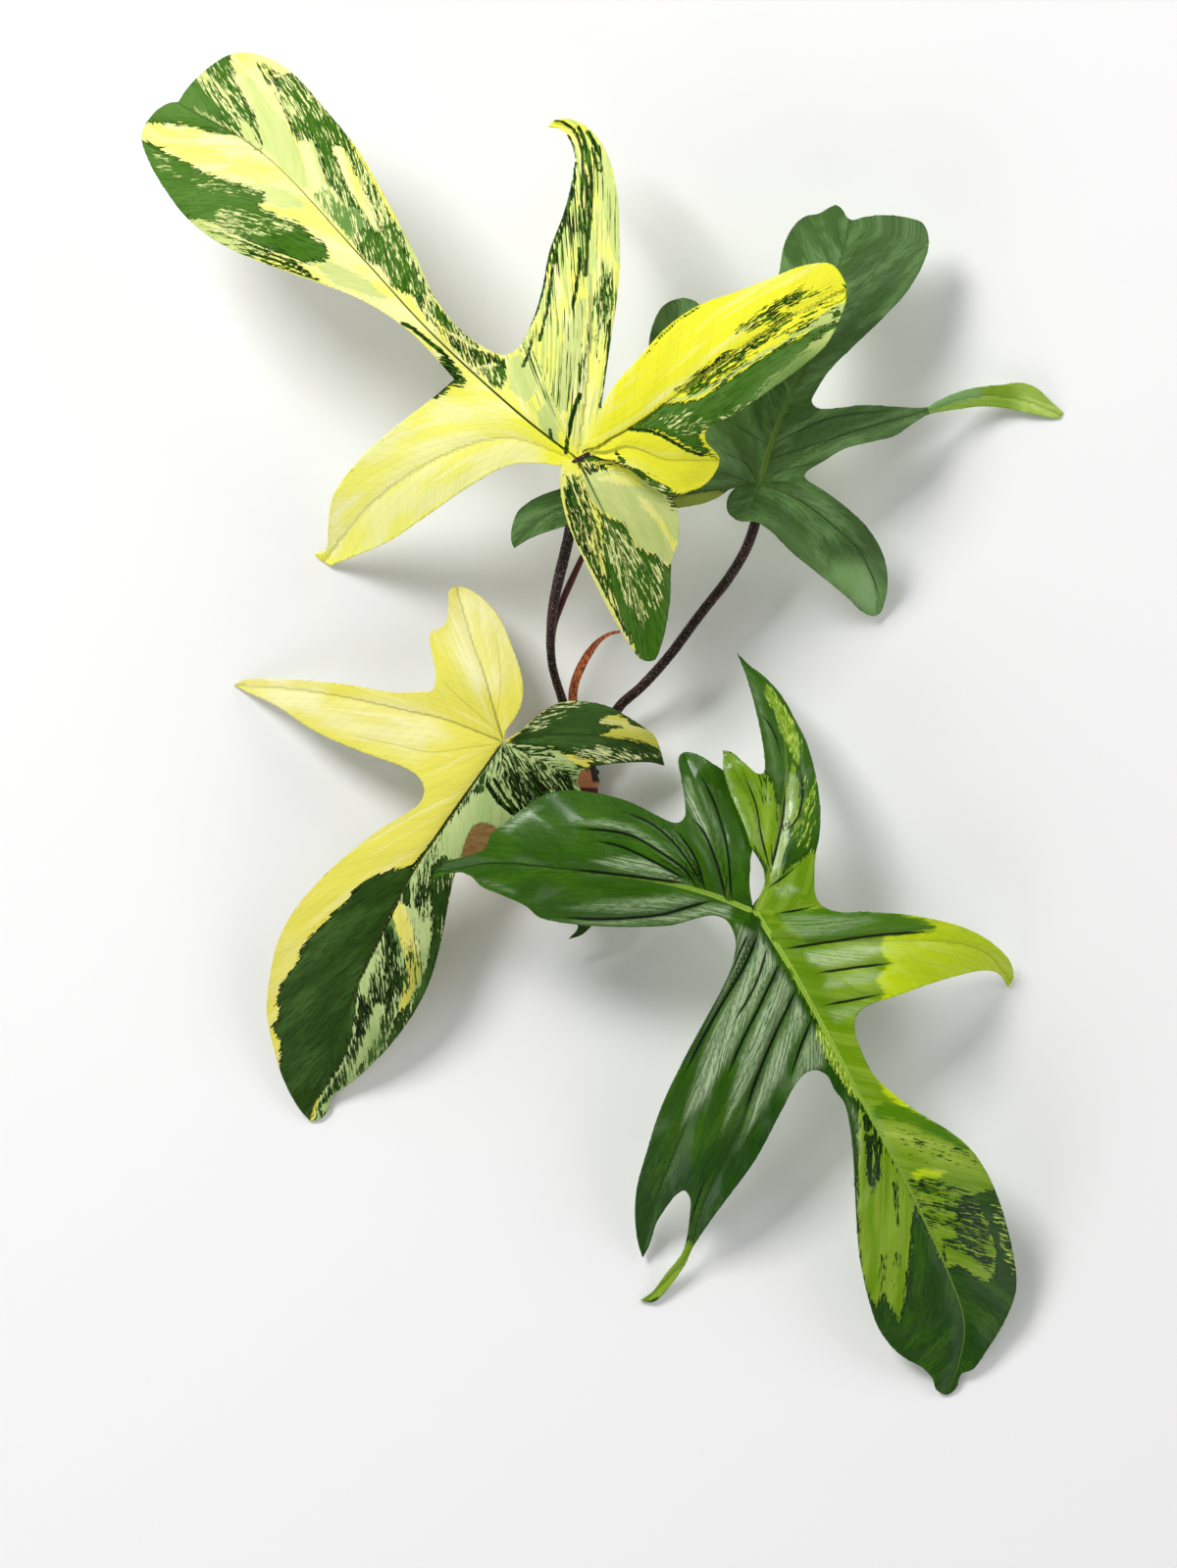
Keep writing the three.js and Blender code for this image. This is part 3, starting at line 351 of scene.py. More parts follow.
def warts(place):
    """Small pimples, crowded on the stalk's skin and drawn out a little along it."""
    distance = noise.voronoi(Vector((place.x, place.y, place.z)) * 1.1)[0][0]
    lumps = noise.noise(place * 0.25)
    return 0.2 * max(0.0, 1 - distance * 2.1) + 0.08 * lumps


stalk_skin, tree, shader = new_material("stalk_skin", 0.42, 0.15)
mottle = speckle(tree, 0.5, 3)
warm = speckle(tree, 14, 2)
maroon = blend_colors(tree, step_between(tree, warm, 0.35, 0.7), tint(13, 5, 5), tint(44, 16, 13))
pimple = step_between(tree, mottle, 0.58, 0.66)
paint(tree, shader, blend_colors(tree, pimple, maroon, tint(146, 114, 100)))
bump(tree, shader, mottle, 0.3)

for name, (thickness, line) in STALKS.items():
    bm = bmesh.new()
    sweep(
        bm, true_place(even_curve(line, 0.55)),
        lambda share: round_section(STALK_RADIUS * along(thickness, share), 28),
    )
    if name == "upper_left":
        sweep(bm, true_place(STALK_HEAD), lambda share: round_section(STALK_HEAD_RADIUS, 12))
    push_out(bm, warts)
    finish_piece(bm, f"warty_stalk_{name}", [stalk_skin], [f"stalk_{name}"])

# New leaf spear: the next leaf, still rolled up tightly, smooth and maroon with a twist along it.
# It leaves the stem under the upper left leaf's stalk and leans away from it towards its thin tip.
SPEAR_RADIUS = 1.3
SPEAR_THICKNESS = [0.9, 1, 1, 1, 1, 0.95, 0.8, 0.3]
SPEAR_LINE = [
    (-4.3, 45.8, 8.2), (-7.6, 55, 14), (-9.2, 63, 19.5), (-8.8, 73, 26), (-6.2, 81, 30),
    (-3.2, 88, 33.5), (0.5, 96, 37), (5, 105.5, 41),
]


def rolled_section(share):
    """A round with one lapping edge, which winds slowly round the spear."""
    radius = SPEAR_RADIUS * along(SPEAR_THICKNESS, share)
    lap = 2.4 * math.pi * share
    ring = []
    for i in range(28):
        turn = 2 * math.pi * i / 28
        since_lap = (turn - lap) % (2 * math.pi)
        reach = radius * (1.04 - 0.16 * since_lap / (2 * math.pi))
        ring.append((reach * math.cos(turn), reach * math.sin(turn)))
    return ring


spear_skin, tree, shader = new_material("spear_skin", 0.36, 0.2)
streaks = speckle(tree, 1.4, 3, (1, 0.2, 1))
paint(tree, shader, blend_colors(tree, streaks, tint(52, 16, 18), tint(104, 42, 34)))
bump(tree, shader, streaks, 0.15)
bm = bmesh.new()
sweep(bm, true_place(even_curve(SPEAR_LINE, 0.6)), rolled_section)
finish_piece(bm, "rolled_spear", [spear_skin], ["new_leaf_spear"])

# Dry sheaths: dead remnants of the sheaths that once wrapped new leaves. One is a narrow red-brown
# strap that curls up from the stem, the other a broad tan papery sheet with fine lengthwise stripes.
SHEATHS = {
    "strap": dict(
        line=[
            (1.5, 32, 12.2), (0, 40, 17), (-2, 48.5, 21.5), (-1.5, 54, 24.5), (1, 60.5, 28),
            (4, 65.5, 30.5), (7, 69, 32), (10.5, 71.2, 33), (14, 72, 33.5),
        ],
        widths=[0.9, 0.95, 1, 1, 1, 1, 0.9, 0.5, 0.3], half_width=1.5, thickness=0.55, rise=0.25,
        ripple=0.12, colors=(tint(112, 56, 34), tint(184, 104, 62)), stain=1,
    ),
    "papery": dict(
        line=[(-4, 4, 8), (-11, 4, 11.5), (-20, 3.5, 16), (-30, 2, 20), (-43, -2, 23.5)],
        widths=[0.45, 0.85, 1, 1, 0.9, 0.35], half_width=7.5, thickness=0.45, rise=1.8,
        ripple=0.5, colors=(tint(242, 172, 120), tint(255, 212, 164)),
        stain=0.25,
    ),
}
SHEATH_SHARES = [math.sin(math.pi / 2 * k / 12) for k in range(-12, 13)]


def sheath_section(sheath, share):
    """A thin strip whose edges turn up, with a lengthwise ripple and edges that thin out."""
    half = sheath["half_width"] * along(sheath["widths"], share)
    lower, upper = [], []
    for side in SHEATH_SHARES:
        ripple = sheath["ripple"] * noise.noise(Vector((side * 4, share * 5, sheath["half_width"])))
        height = sheath["rise"] * side * side + ripple * (1 - side * side)
        half_thick = sheath["thickness"] / 2 * (0.25 + 0.75 * math.sqrt(max(0, 1 - side ** 4)))
        lower.append((side * half, height - half_thick))
        upper.append((side * half, height + half_thick))
    return lower + upper[::-1]


for name, sheath in SHEATHS.items():
    skin, tree, shader = new_material(f"{name}_sheath_skin", 0.75)
    fibre_way = (1, 0.15, 1) if name == "strap" else (0.12, 1, 1)
    fibres = speckle(tree, 0.7, 4, fibre_way)
    blotches = speckle(tree, 6, 3)
    striped = step_between(tree, fibres, 0.38, 0.62)
    dry = blend_colors(tree, striped, *sheath["colors"])
    stains = multiply(tree, step_between(tree, blotches, 0.55, 0.8), sheath["stain"])
    paint(tree, shader, blend_colors(tree, stains, dry, tint(104, 56, 34)))
    bump(tree, shader, fibres, 0.3)
    bm = bmesh.new()
    sweep(bm, true_place(even_curve(sheath["line"], 0.6)), lambda share: sheath_section(sheath, share))
    finish_piece(bm, f"dry_{name}", [skin], [f"dry_{name}_sheath"])

# Leaf blades: thin sheets with a valley along each rib, pleated between the ribs, paler and dull
# below. The ones with coloured patches grew that way, cell line by cell line, so the patches end in
# ragged streaks along the veins.
BLADE_THICKNESS = 0.6
OUTLINE_STEP = 1.1
CELL = 0.85
VALLEY_SLOPE = 0.1
VALLEY_REACH = 14
GROOVE_WIDTH = 1.3
LOWEST_BLADE = 0.45
SMOOTHINGS = 8
RIB_TOP = 0.1
RIB_MAP_STEP = 400
RIGHT_MAP_STEP = 150

# A leaf is a dict. Its outline has some corners, and its heights are places with a height. A rib has
# its line, how its side veins lean and slant, and how dark (ink) and bright (glow) it is along it. A
# crease has a depth, a width to the left and right, and a line. A tuck has a line, a reach, and how
# the edges to its left and right move.
CORNER = True


def trace_outline(points):
    """Outline with smooth curves between its corners."""
    corners = [i for i, point in enumerate(points) if len(point) > 2]
    traced = []
    for start, end in zip(corners, corners[1:] + [corners[0] + len(points)]):
        run = [points[i % len(points)][:2] for i in range(start, end + 1)]
        steps = [max(1, round(math.dist(a, b) / OUTLINE_STEP)) for a, b in zip(run, run[1:])]
        traced.extend(curve_run(run, steps)[:-1])
    return np.array(traced)


def bend_through(points):
    """Smooth bending surface through points of given height: a thin-plate spline."""
    points = np.array(points, float)

    def bend(places):
        squared = ((places[:, None, :] - points[None, :, :2]) ** 2).sum(2)
        return squared * np.log(np.maximum(squared, 1e-12))

    def flat(places):
        return np.hstack([np.ones((len(places), 1)), places])

    side = flat(points[:, :2])
    rows = np.block([[bend(points[:, :2]), side], [side.T, np.zeros((3, 3))]])
    weights = np.linalg.solve(rows, np.concatenate([points[:, 2], np.zeros(3)]))
    return lambda places: np.hstack([bend(places), flat(places)]) @ weights


def to_line(places, line):
    """For each place: distance to a line, length along it, signed distance (left is positive)."""
    line = np.array(line, float)[:, :2]
    best = np.full(len(places), np.inf)
    length, side = np.zeros(len(places)), np.zeros(len(places))
    passed = 0.0
    for a, b in zip(line, line[1:]):
        way = b - a
        size = np.linalg.norm(way)
        offset = places - a
        share = np.clip(offset @ way / size ** 2, 0, 1)
        apart = np.linalg.norm(offset - share[:, None] * way, axis=1)
        nearer = apart < best - 1e-9
        cross = (way[0] * offset[:, 1] - way[1] * offset[:, 0]) / size
        best[nearer] = apart[nearer]
        length[nearer] = (passed + share * size)[nearer]
        side[nearer] = np.where(cross >= 0, apart, -apart)[nearer]
        passed += size
    return best, length, side


def inside_depth(places, polygon):
    """Distance to a polygon's edge, positive inside it."""
    ring = np.array(list(polygon) + [polygon[0]], float)
    depth = to_line(places, ring)[0]
    inside = np.zeros(len(places), bool)
    for (ax, ay), (bx, by) in zip(ring, ring[1:]):
        if ay == by:
            continue
        crosses = (ay > places[:, 1]) != (by > places[:, 1])
        inside ^= crosses & (places[:, 0] < ax + (bx - ax) * (places[:, 1] - ay) / (by - ay))
    return np.where(inside, depth, -depth)


def run_length(line):
    return sum(math.dist(a, b) for a, b in zip(line, line[1:]))


def ease(values, low, high):
    share = np.clip((values - low) / (high - low), 0, 1)
    return share * share * (3 - 2 * share)


def split_in_cells(bm, faces, axis, low, count):
    """Cuts flat faces into strips one cell wide, halving them again and again."""
    if count < 2 or not faces:
        return
    half = count // 2
    place = low + half * CELL
    geometry = set(faces)
    for face in faces:
        geometry.update(face.verts)
        geometry.update(face.edges)
    way = Vector((1, 0, 0)) if axis == 0 else Vector((0, 1, 0))
    cut = bmesh.ops.bisect_plane(bm, geom=list(geometry), dist=1e-4, plane_co=way * place, plane_no=way)
    parts = [part for part in cut["geom"] if isinstance(part, bmesh.types.BMFace)]
    split_in_cells(bm, [f for f in parts if f.calc_center_median()[axis] < place], axis, low, half)
    split_in_cells(
        bm, [f for f in parts if f.calc_center_median()[axis] >= place], axis, place, count - half
    )


# Leaf colours, in the order that they lie over each other. "ground" bares the yellow ground again.
# An edge gives where a mark or a soft wash starts and is full, in millimetres inside its outline.
# Depths stop at FAR, and a tone reaches as far as UNDER_REACH under the darker ones.
SOLID_TONES = ("pale", "mid", "green")
LOOSE_MARKS = ("marble", "scratch", "lines", "stripes")
WASH_EDGES = {"cream": (-4, 5), "shade": (-4, 5), "sheen": (-0.6, 2.2)}
FAR = 9.0
UNDER_REACH = 4
LOOSE_EDGE = (-1.8, 1)
CLEARED_EDGE = (-1, 1)
STROKE_MARGIN = 0.1


def paint_fields(places, leaf):
    """Per place: depth inside the solid patches of each tone and inside the single strokes, how thick
    the loose marks are, and how strong the washes. Later patches lie over earlier ones. A tone reaches
    a little way under the darker ones beside it, so that no ground shows between them."""
    solid = {tone: np.full(len(places), -FAR) for tone in (*SOLID_TONES, "stroke")}
    loose = {kind: np.zeros(len(places)) for kind in (*LOOSE_MARKS, *WASH_EDGES)}
    for kind, *strength, shape in leaf["patches"]:
        if kind == "stroke":
            half_width = strength[0] / 2 + STROKE_MARGIN
            solid[kind] = np.maximum(solid[kind], half_width - to_line(places, shape)[0])
            continue
        depth = inside_depth(places, shape)
        if kind in LOOSE_MARKS:
            loose[kind] = np.maximum(loose[kind], strength[0] * ease(depth, *LOOSE_EDGE))
            continue
        darker = SOLID_TONES[SOLID_TONES.index(kind) + 1:] if kind in SOLID_TONES else SOLID_TONES
        if kind in SOLID_TONES:
            covered = np.max([solid[tone] for tone in darker], axis=0, initial=-FAR)
            under = np.minimum(depth + UNDER_REACH, covered + 0.6)
            solid[kind] = np.max([solid[kind], depth, under], axis=0)
        for tone in (*darker, "stroke"):
            solid[tone] = np.minimum(solid[tone], -depth)
        for other in LOOSE_MARKS:
            loose[other] *= ease(-depth, *CLEARED_EDGE)
    for kind, edges in WASH_EDGES.items():
        for strength, shape in leaf.get(kind, []):
            loose[kind] = np.maximum(loose[kind], strength * ease(inside_depth(places, shape), *edges))
    return {**{tone: np.clip(field, -FAR, FAR) for tone, field in solid.items()}, **loose}


def rib_coordinates(places, ribs):
    """Nearest rib of each place, with the length along it, the signed distance from it, and how
    clearly it is the nearest."""
    found = [to_line(places, rib["line"]) for rib in ribs]
    distances = np.stack([distance for distance, _, _ in found])
    ordered = np.sort(distances, axis=0)
    return distances.argmin(0), found, ordered[1] - ordered[0]


def blade_form(places, leaf):
    """Height of a blade's middle surface, in millimetres, without its grooves and creases."""
    nearest, found, clearly = rib_coordinates(places, leaf["ribs"])
    from_rib = np.min([distance for distance, _, _ in found], axis=0)
    heights = bend_through(leaf["heights"])(places)
    heights += VALLEY_SLOPE * VALLEY_REACH * np.tanh(from_rib / VALLEY_REACH)
    for k, rib in enumerate(leaf["ribs"]):
        _, length, side = found[k]
        phase = (length - np.abs(side) * rib.get("lean", 1.2)) / rib.get("vein_step", 14)
        pleat = np.abs((phase % 1) * 2 - 1) ** 1.5
        reach = ease(clearly, 0, 8) * ease(np.abs(side), 0.5, 4)
        heights += np.where(nearest == k, leaf["pleat"] * pleat * reach, 0)
    return heights


def blade_furrows(places, leaf):
    """How far the grooves over the ribs and the creases lie under the form, as heights below zero."""
    from_rib = np.min([to_line(places, rib["line"])[0] for rib in leaf["ribs"]], axis=0)
    heights = -leaf["rib_groove"] * np.exp(-((from_rib / GROOVE_WIDTH) ** 2))
    for depth, (left_width, right_width), line in leaf.get("creases", []):
        line = even_curve(line, 2)
        distance, length, side = to_line(places, line)
        width = np.where(side > 0, left_width, right_width)
        full = run_length(line)
        fading = ease(length, 0, 5) * ease(full + 0.1 - length, 0, 7)
        heights -= depth * np.exp(-distance / width) * (0.2 + 0.8 * fading)
    return heights


def crease_lines(places, creases):
    """Per place: signed distance from the nearest crease, and half the width of its dark line there."""
    nearest, aside = np.full((2, len(places)), FAR)
    half_width = np.full(len(places), -1.0)
    for depth, _, line in creases:
        line = even_curve(line, 2)
        distance, length, side = to_line(places, line)
        tapered = ease(length, -1.5, 5) * ease(run_length(line) - length, -0.1, 9)
        closer = distance < nearest
        nearest[closer], aside[closer] = distance[closer], side[closer]
        half_width[closer] = np.where(distance < 2, 0.5 * min(1, depth / 1.5) * tapered, -1)[closer]
    return aside, half_width


def tuck_edges(places, leaf):
    """How far the edges along a slit move sideways, and up or down, so that one covers the other."""
    moves = np.zeros((len(places), 3))
    for line, reach, left_move, right_move in leaf.get("tucks", []):
        distance, length, side = to_line(places, line)
        near = ease(-distance, -reach, 0) * ease(length, 0, 6)
        moves += np.where(side[:, None] > 0, left_move, right_move) * near[:, None]
    return moves


def cut_blade(leaf):
    """A flat blade, cut from its outline into small cells."""
    outline = trace_outline(leaf["outline"])
    bm = bmesh.new()
    whole = bm.faces.new([bm.verts.new((x, y, 0)) for x, y in outline])
    whole.normal_update()
    if whole.normal.z < 0:
        whole.normal_flip()
    low, high = outline.min(0), outline.max(0)
    for axis in (0, 1):
        count = math.ceil((high[axis] - low[axis]) / CELL)
        split_in_cells(bm, list(bm.faces), axis, low[axis], count)
    bmesh.ops.dissolve_degenerate(bm, dist=0.03, edges=bm.edges)
    bmesh.ops.triangulate(bm, faces=[face for face in bm.faces if len(face.verts) > 4])
    bm.verts.index_update()
    return bm


def map_veins(mesh, flat, leaf):
    """Gives a blade its two maps, one along its ribs and one along the slanting streaks, with a place
    of its own for each rib and side, and notes how the ribs taper and how dark and bright they are."""
    corner_vertex = np.zeros(len(mesh.loops), int)
    mesh.loops.foreach_get("vertex_index", corner_vertex)
    sizes = np.zeros(len(mesh.polygons), int)
    mesh.polygons.foreach_get("loop_total", sizes)
    starts = np.concatenate([[0], np.cumsum(sizes)[:-1]])
    corners = flat[corner_vertex]
    centres = np.add.reduceat(corners, starts, axis=0) / sizes[:, None]
    rib_of_corner = np.repeat(rib_coordinates(centres, leaf["ribs"])[0], sizes)
    ribs, streaks = np.zeros((len(corners), 2)), np.zeros((len(corners), 2))
    taper, ink, glow = np.zeros((3, len(flat)))
    for k, rib in enumerate(leaf["ribs"]):
        chosen = rib_of_corner == k
        _, length, side = to_line(corners[chosen], rib["line"])
        left_slant = rib.get("slant", 6)
        slant = np.radians(np.where(side > 0, left_slant, rib.get("slant_right", left_slant)))
        ribs[chosen] = np.stack([length + RIB_MAP_STEP * k, side], axis=1)
        streaks[chosen] = np.stack([
            length * np.cos(slant) + np.abs(side) * np.sin(slant) + RIB_MAP_STEP * k,
            np.abs(side) * np.cos(slant) - length * np.sin(slant) + RIGHT_MAP_STEP * (side < 0),
        ], axis=1)
        share = np.clip(length / run_length(rib["line"]), 0, 1)
        taper[corner_vertex[chosen]] = share
        for values, strengths in ((ink, rib.get("ink", [0])), (glow, rib.get("glow", [0]))):
            places = np.linspace(0, 1, len(strengths))
            values[corner_vertex[chosen]] = np.interp(share, places, strengths)
    mesh.uv_layers.new(name="ribs").data.foreach_set("uv", ribs.ravel())
    mesh.uv_layers.new(name="streaks").data.foreach_set("uv", streaks.ravel())
    for field, values in (("taper", taper), ("ink", ink), ("glow", glow)):
        set_attribute(mesh, field, values)


def blade_piece(name, leaf, upper_skin, lower_skin, cad_node):
    """A blade lifted to its height, with its colours, its maps and its thickness."""
    bm = cut_blade(leaf)
    flat = np.array([vert.co[:2] for vert in bm.verts])
    for vert, height in zip(bm.verts, blade_form(flat, leaf)):
        vert.co.z = height
    for _ in range(SMOOTHINGS):
        bmesh.ops.smooth_vert(bm, verts=bm.verts, factor=0.5, use_axis_z=True)
    heights = np.array([vert.co.z for vert in bm.verts]) + blade_furrows(flat, leaf)
    lifted = np.hstack([flat, np.maximum(heights, LOWEST_BLADE)[:, None]]) + tuck_edges(flat, leaf)
    raised = true_place(lifted)
    for vert, place in zip(bm.verts, raised):
        vert.co = place
    piece = finish_piece(bm, name, [upper_skin, lower_skin], [cad_node], closed=False)
    mesh = piece.data
    for field, values in paint_fields(flat, leaf).items():
        set_attribute(mesh, field, values)
    for field, values in zip(("fold_side", "fold_width"), crease_lines(flat, leaf.get("creases", []))):
        set_attribute(mesh, field, values)
    map_veins(mesh, flat, leaf)
    sheet = piece.modifiers.new("thickness", "SOLIDIFY")
    sheet.thickness = BLADE_THICKNESS * MM
    sheet.offset = 0
    sheet.material_offset = 1
    sheet.material_offset_rim = 0


def rib_piece(name, leaf, skin):
    """The ribs that stand out under a blade, thick where they leave the stalk."""
    bm = bmesh.new()
    for rib in leaf["ribs"]:
        line = even_curve(rib["line"], 1.5)
        radii = rib.get("thick", 0.9) * np.linspace(1, 0.2, len(line))
        heights = blade_form(line, leaf) + blade_furrows(line, leaf) + RIB_TOP - radii
        lifted = np.hstack([line, heights[:, None]]) + tuck_edges(line, leaf)
        sweep(bm, true_place(lifted), lambda share: round_section(along(radii, share), 10))
    for vert in bm.verts:
        vert.co.z = max(vert.co.z, FLOOR_GAP)
    finish_piece(bm, name, [skin])


def smooth_ribs(ribs):
    for rib in ribs:
        rib["line"] = even_curve(rib["line"], 3)
    return ribs


def new_group(name, numbers, colors, results):
    """An empty shader node group with named sockets, and its two ends."""
    group = bpy.data.node_groups.new(name, "ShaderNodeTree")
    sockets = group.interface
    for label, value in numbers.items():
        sockets.new_socket(label, in_out="INPUT", socket_type="NodeSocketFloat").default_value = value
    for label in colors:
        sockets.new_socket(label, in_out="INPUT", socket_type="NodeSocketColor")
    for label, kind in results.items():
        sockets.new_socket(label, in_out="OUTPUT", socket_type=kind)
    return group, group.nodes.new("NodeGroupInput").outputs, group.nodes.new("NodeGroupOutput")


def stretched_noise(tree, map_name, length, width, detail=2.0, seed=0.0):
    """Noise drawn out along the veins, with grains of the given length and width in millimetres."""
    place = node(tree, "UVMap", uv_map=map_name).outputs[0]
    scaled = node(
        tree, "Mapping",
        {"Vector": place, "Scale": (1 / length, 1 / width, 1), "Location": (seed, seed, 0)},
    ).outputs[0]
    return node(
        tree, "TexNoise", {"Vector": scaled, "Scale": 1.0, "Detail": detail, "Roughness": 0.6},
        noise_dimensions="2D",
    ).outputs["Fac"]


# Patches: solid ones end raggedly, loose ones are streaks, lines and specks along the veins
PATCH_FIELDS = (
    "Pale", "Mid", "Green", "Stroke", "Marble", "Scratch", "Lines", "Stripes", "Cream", "Shade", "Sheen"
)
TONES = ("Ground", "Cream", "Pale", "Mid", "Green", "Dark", "Painted sheen")
patch_group, given, result = new_group(
    "leaf_patches",
    {**{field: 0.0 for field in PATCH_FIELDS}, "Ragged": 1.6, "Soft": 0.12},
    [f"{tone} tone" for tone in TONES],
    {"Color": "NodeSocketColor"},
)
tree = patch_group
coarse = stretched_noise(tree, "streaks", 8, 0.8, 2)
fine = stretched_noise(tree, "streaks", 3, 0.42, 2, 31)
long = stretched_noise(tree, "streaks", 26, 0.6, 2, 11)
bands = stretched_noise(tree, "streaks", 50, 0.9, 2, 71)
soft = stretched_noise(tree, "streaks", 45, 3.5, 3, 57)
clouds = stretched_noise(tree, "streaks", 24, 7, 3, 83)


def weigh(a, b, share):
    return calculate(tree, "ADD", multiply(tree, a, 1 - share), multiply(tree, b, share))


def faint_step(value, low, high, strength):
    return multiply(tree, step_between(tree, value, low, high), strength)


mixed = weigh(coarse, fine, 0.45)
jag = multiply(tree, multiply_add(tree, mixed, 4.0, -2.0), given["Ragged"])
gathered = multiply_add(tree, clouds, 0.4, -0.2)


def ragged_mask(field, share=1.0, softness=0.1):
    """1 inside a patch, with an edge that runs out in streaks."""
    edge = calculate(tree, "ADD", field, multiply(tree, jag, share))
    return step_between(tree, edge, multiply(tree, softness, -1.0), softness)


def streak_mask(density, source, blur=0.02):
    """Where a noise stands out. It gets commoner with density, and gathers in loose groups."""
    limit = calculate(tree, "SUBTRACT", multiply_add(tree, density, -0.38, 0.72), gathered)
    marks = step_between(tree, calculate(tree, "SUBTRACT", source, limit), -blur, blur)
    return multiply(tree, marks, step_between(tree, density, 0.03, 0.15))


# The yellow ground with its creamy clouds, then the pale and mid green patches over it
ground, cream_tone, pale_tone, mid_tone, green_tone, dark_tone, painted_sheen_tone = (
    given[f"{tone} tone"] for tone in TONES
)
wash = multiply(tree, given["Cream"], multiply_add(tree, step_between(tree, clouds, 0.36, 0.6), 0.55, 0.45))
creamy = calculate(tree, "ADD", wash, faint_step(soft, 0.5, 0.8, 0.6), clamp=True)
color = blend_colors(tree, creamy, ground, cream_tone)
pale_wash = multiply_add(tree, step_between(tree, soft, 0.38, 0.62), 0.2, multiply(tree, wash, 0.3))
pale = blend_colors(tree, pale_wash, pale_tone, cream_tone)
color = blend_colors(tree, ragged_mask(given["Pale"], 0.7, given["Soft"]), color, pale)
color = blend_colors(tree, streak_mask(given["Stripes"], bands, 0.04), color, pale_tone)
mid = blend_colors(tree, faint_step(clouds, 0.35, 0.7, 0.25), mid_tone, pale_tone)
mid_mask = ragged_mask(given["Mid"], 1.0, given["Soft"])
color = blend_colors(tree, mid_mask, color, mid)

# Dark marbling, long lines and single strokes, then the solid green with its darker rim
streak_tone = blend_colors(tree, step_between(tree, coarse, 0.5, 0.66), dark_tone, green_tone)
loose = calculate(tree, "MAXIMUM", streak_mask(given["Marble"], mixed), streak_mask(given["Lines"], long))
loose = calculate(tree, "MAXIMUM", loose, ragged_mask(given["Stroke"], 0.3))
color = blend_colors(tree, loose, color, streak_tone)
edge = calculate(tree, "ADD", given["Green"], jag)
solid = step_between(tree, edge, -0.1, 0.1)
inner = blend_colors(tree, faint_step(clouds, 0.4, 0.7, 0.4), green_tone, mid_tone)
inner = blend_colors(tree, faint_step(mixed, 0.52, 0.4, 0.45), inner, dark_tone)
rim = step_between(tree, edge, 0.1, 1.1)
color = blend_colors(tree, solid, color, blend_colors(tree, rim, dark_tone, inner))

# Pale scratches in the green, the soft wash towards the mid tone, and the sheen: a painted highlight laid in
# streaks beside the folds
scratch_tone = blend_colors(tree, step_between(tree, fine, 0.45, 0.6), pale_tone, cream_tone)
in_green = calculate(tree, "MAXIMUM", solid, mid_mask)
scratches = multiply(tree, streak_mask(given["Scratch"], mixed), in_green)
color = blend_colors(tree, scratches, color, scratch_tone)
color = blend_colors(tree, given["Shade"], color, mid_tone)
sheen_streaks = multiply_add(tree, step_between(tree, weigh(long, fine, 0.4), 0.42, 0.58), 0.75, 0.25)
color = blend_colors(tree, multiply(tree, given["Sheen"], sheen_streaks), color, painted_sheen_tone)
tree.links.new(color, result.inputs["Color"])

# Veins: the rib's own thin line, side veins that leave it at an angle, and a fine net between them
vein_group, given, result = new_group(
    "leaf_veins",
    {"Rib width": 0.8, "Vein step": 4.5, "Lean": 0.9, "Taper": 0.5},
    [],
    {label: "NodeSocketFloat" for label in ("Rib", "Side vein", "Fine vein", "Height")},
)
tree = vein_group
place = node(tree, "SeparateXYZ", {0: node(tree, "UVMap", uv_map="ribs").outputs[0]})
from_rib = calculate(tree, "ABSOLUTE", place.outputs[1])
narrow = multiply(tree, given["Rib width"], calculate(tree, "SUBTRACT", 1.15, given["Taper"]))
rib_line = calculate(tree, "SUBTRACT", 1.0, calculate(tree, "DIVIDE", from_rib, narrow), clamp=True)
wander = multiply(tree, stretched_noise(tree, "ribs", 14, 14, 1), 3.0)
wandered = calculate(tree, "ADD", place.outputs[0], wander)
phase = calculate(tree, "SUBTRACT", wandered, multiply(tree, from_rib, given["Lean"]))
wave = calculate(tree, "FRACT", calculate(tree, "DIVIDE", phase, given["Vein step"]))
ridge = calculate(tree, "ABSOLUTE", calculate(tree, "SUBTRACT", wave, 0.5))
side_vein = step_between(tree, ridge, 0.42, 0.5)
net = node(
    tree, "TexVoronoi",
    {"Vector": node(tree, "UVMap", uv_map="streaks").outputs[0], "Scale": 0.8},
    feature="DISTANCE_TO_EDGE", voronoi_dimensions="2D",
).outputs["Distance"]
cells = step_between(tree, net, 0.0, 0.25)
fine_vein = stretched_noise(tree, "streaks", 60, 0.7, 3, 23)
blade_grain = calculate(tree, "ADD", multiply(tree, cells, 0.3), multiply(tree, fine_vein, 1.4))
sunk = calculate(tree, "ADD", multiply(tree, side_vein, 0.5), rib_line)
height = calculate(tree, "SUBTRACT", blade_grain, sunk)
for part, socket in zip((rib_line, side_vein, fine_vein, height), result.inputs):
    tree.links.new(part, socket)


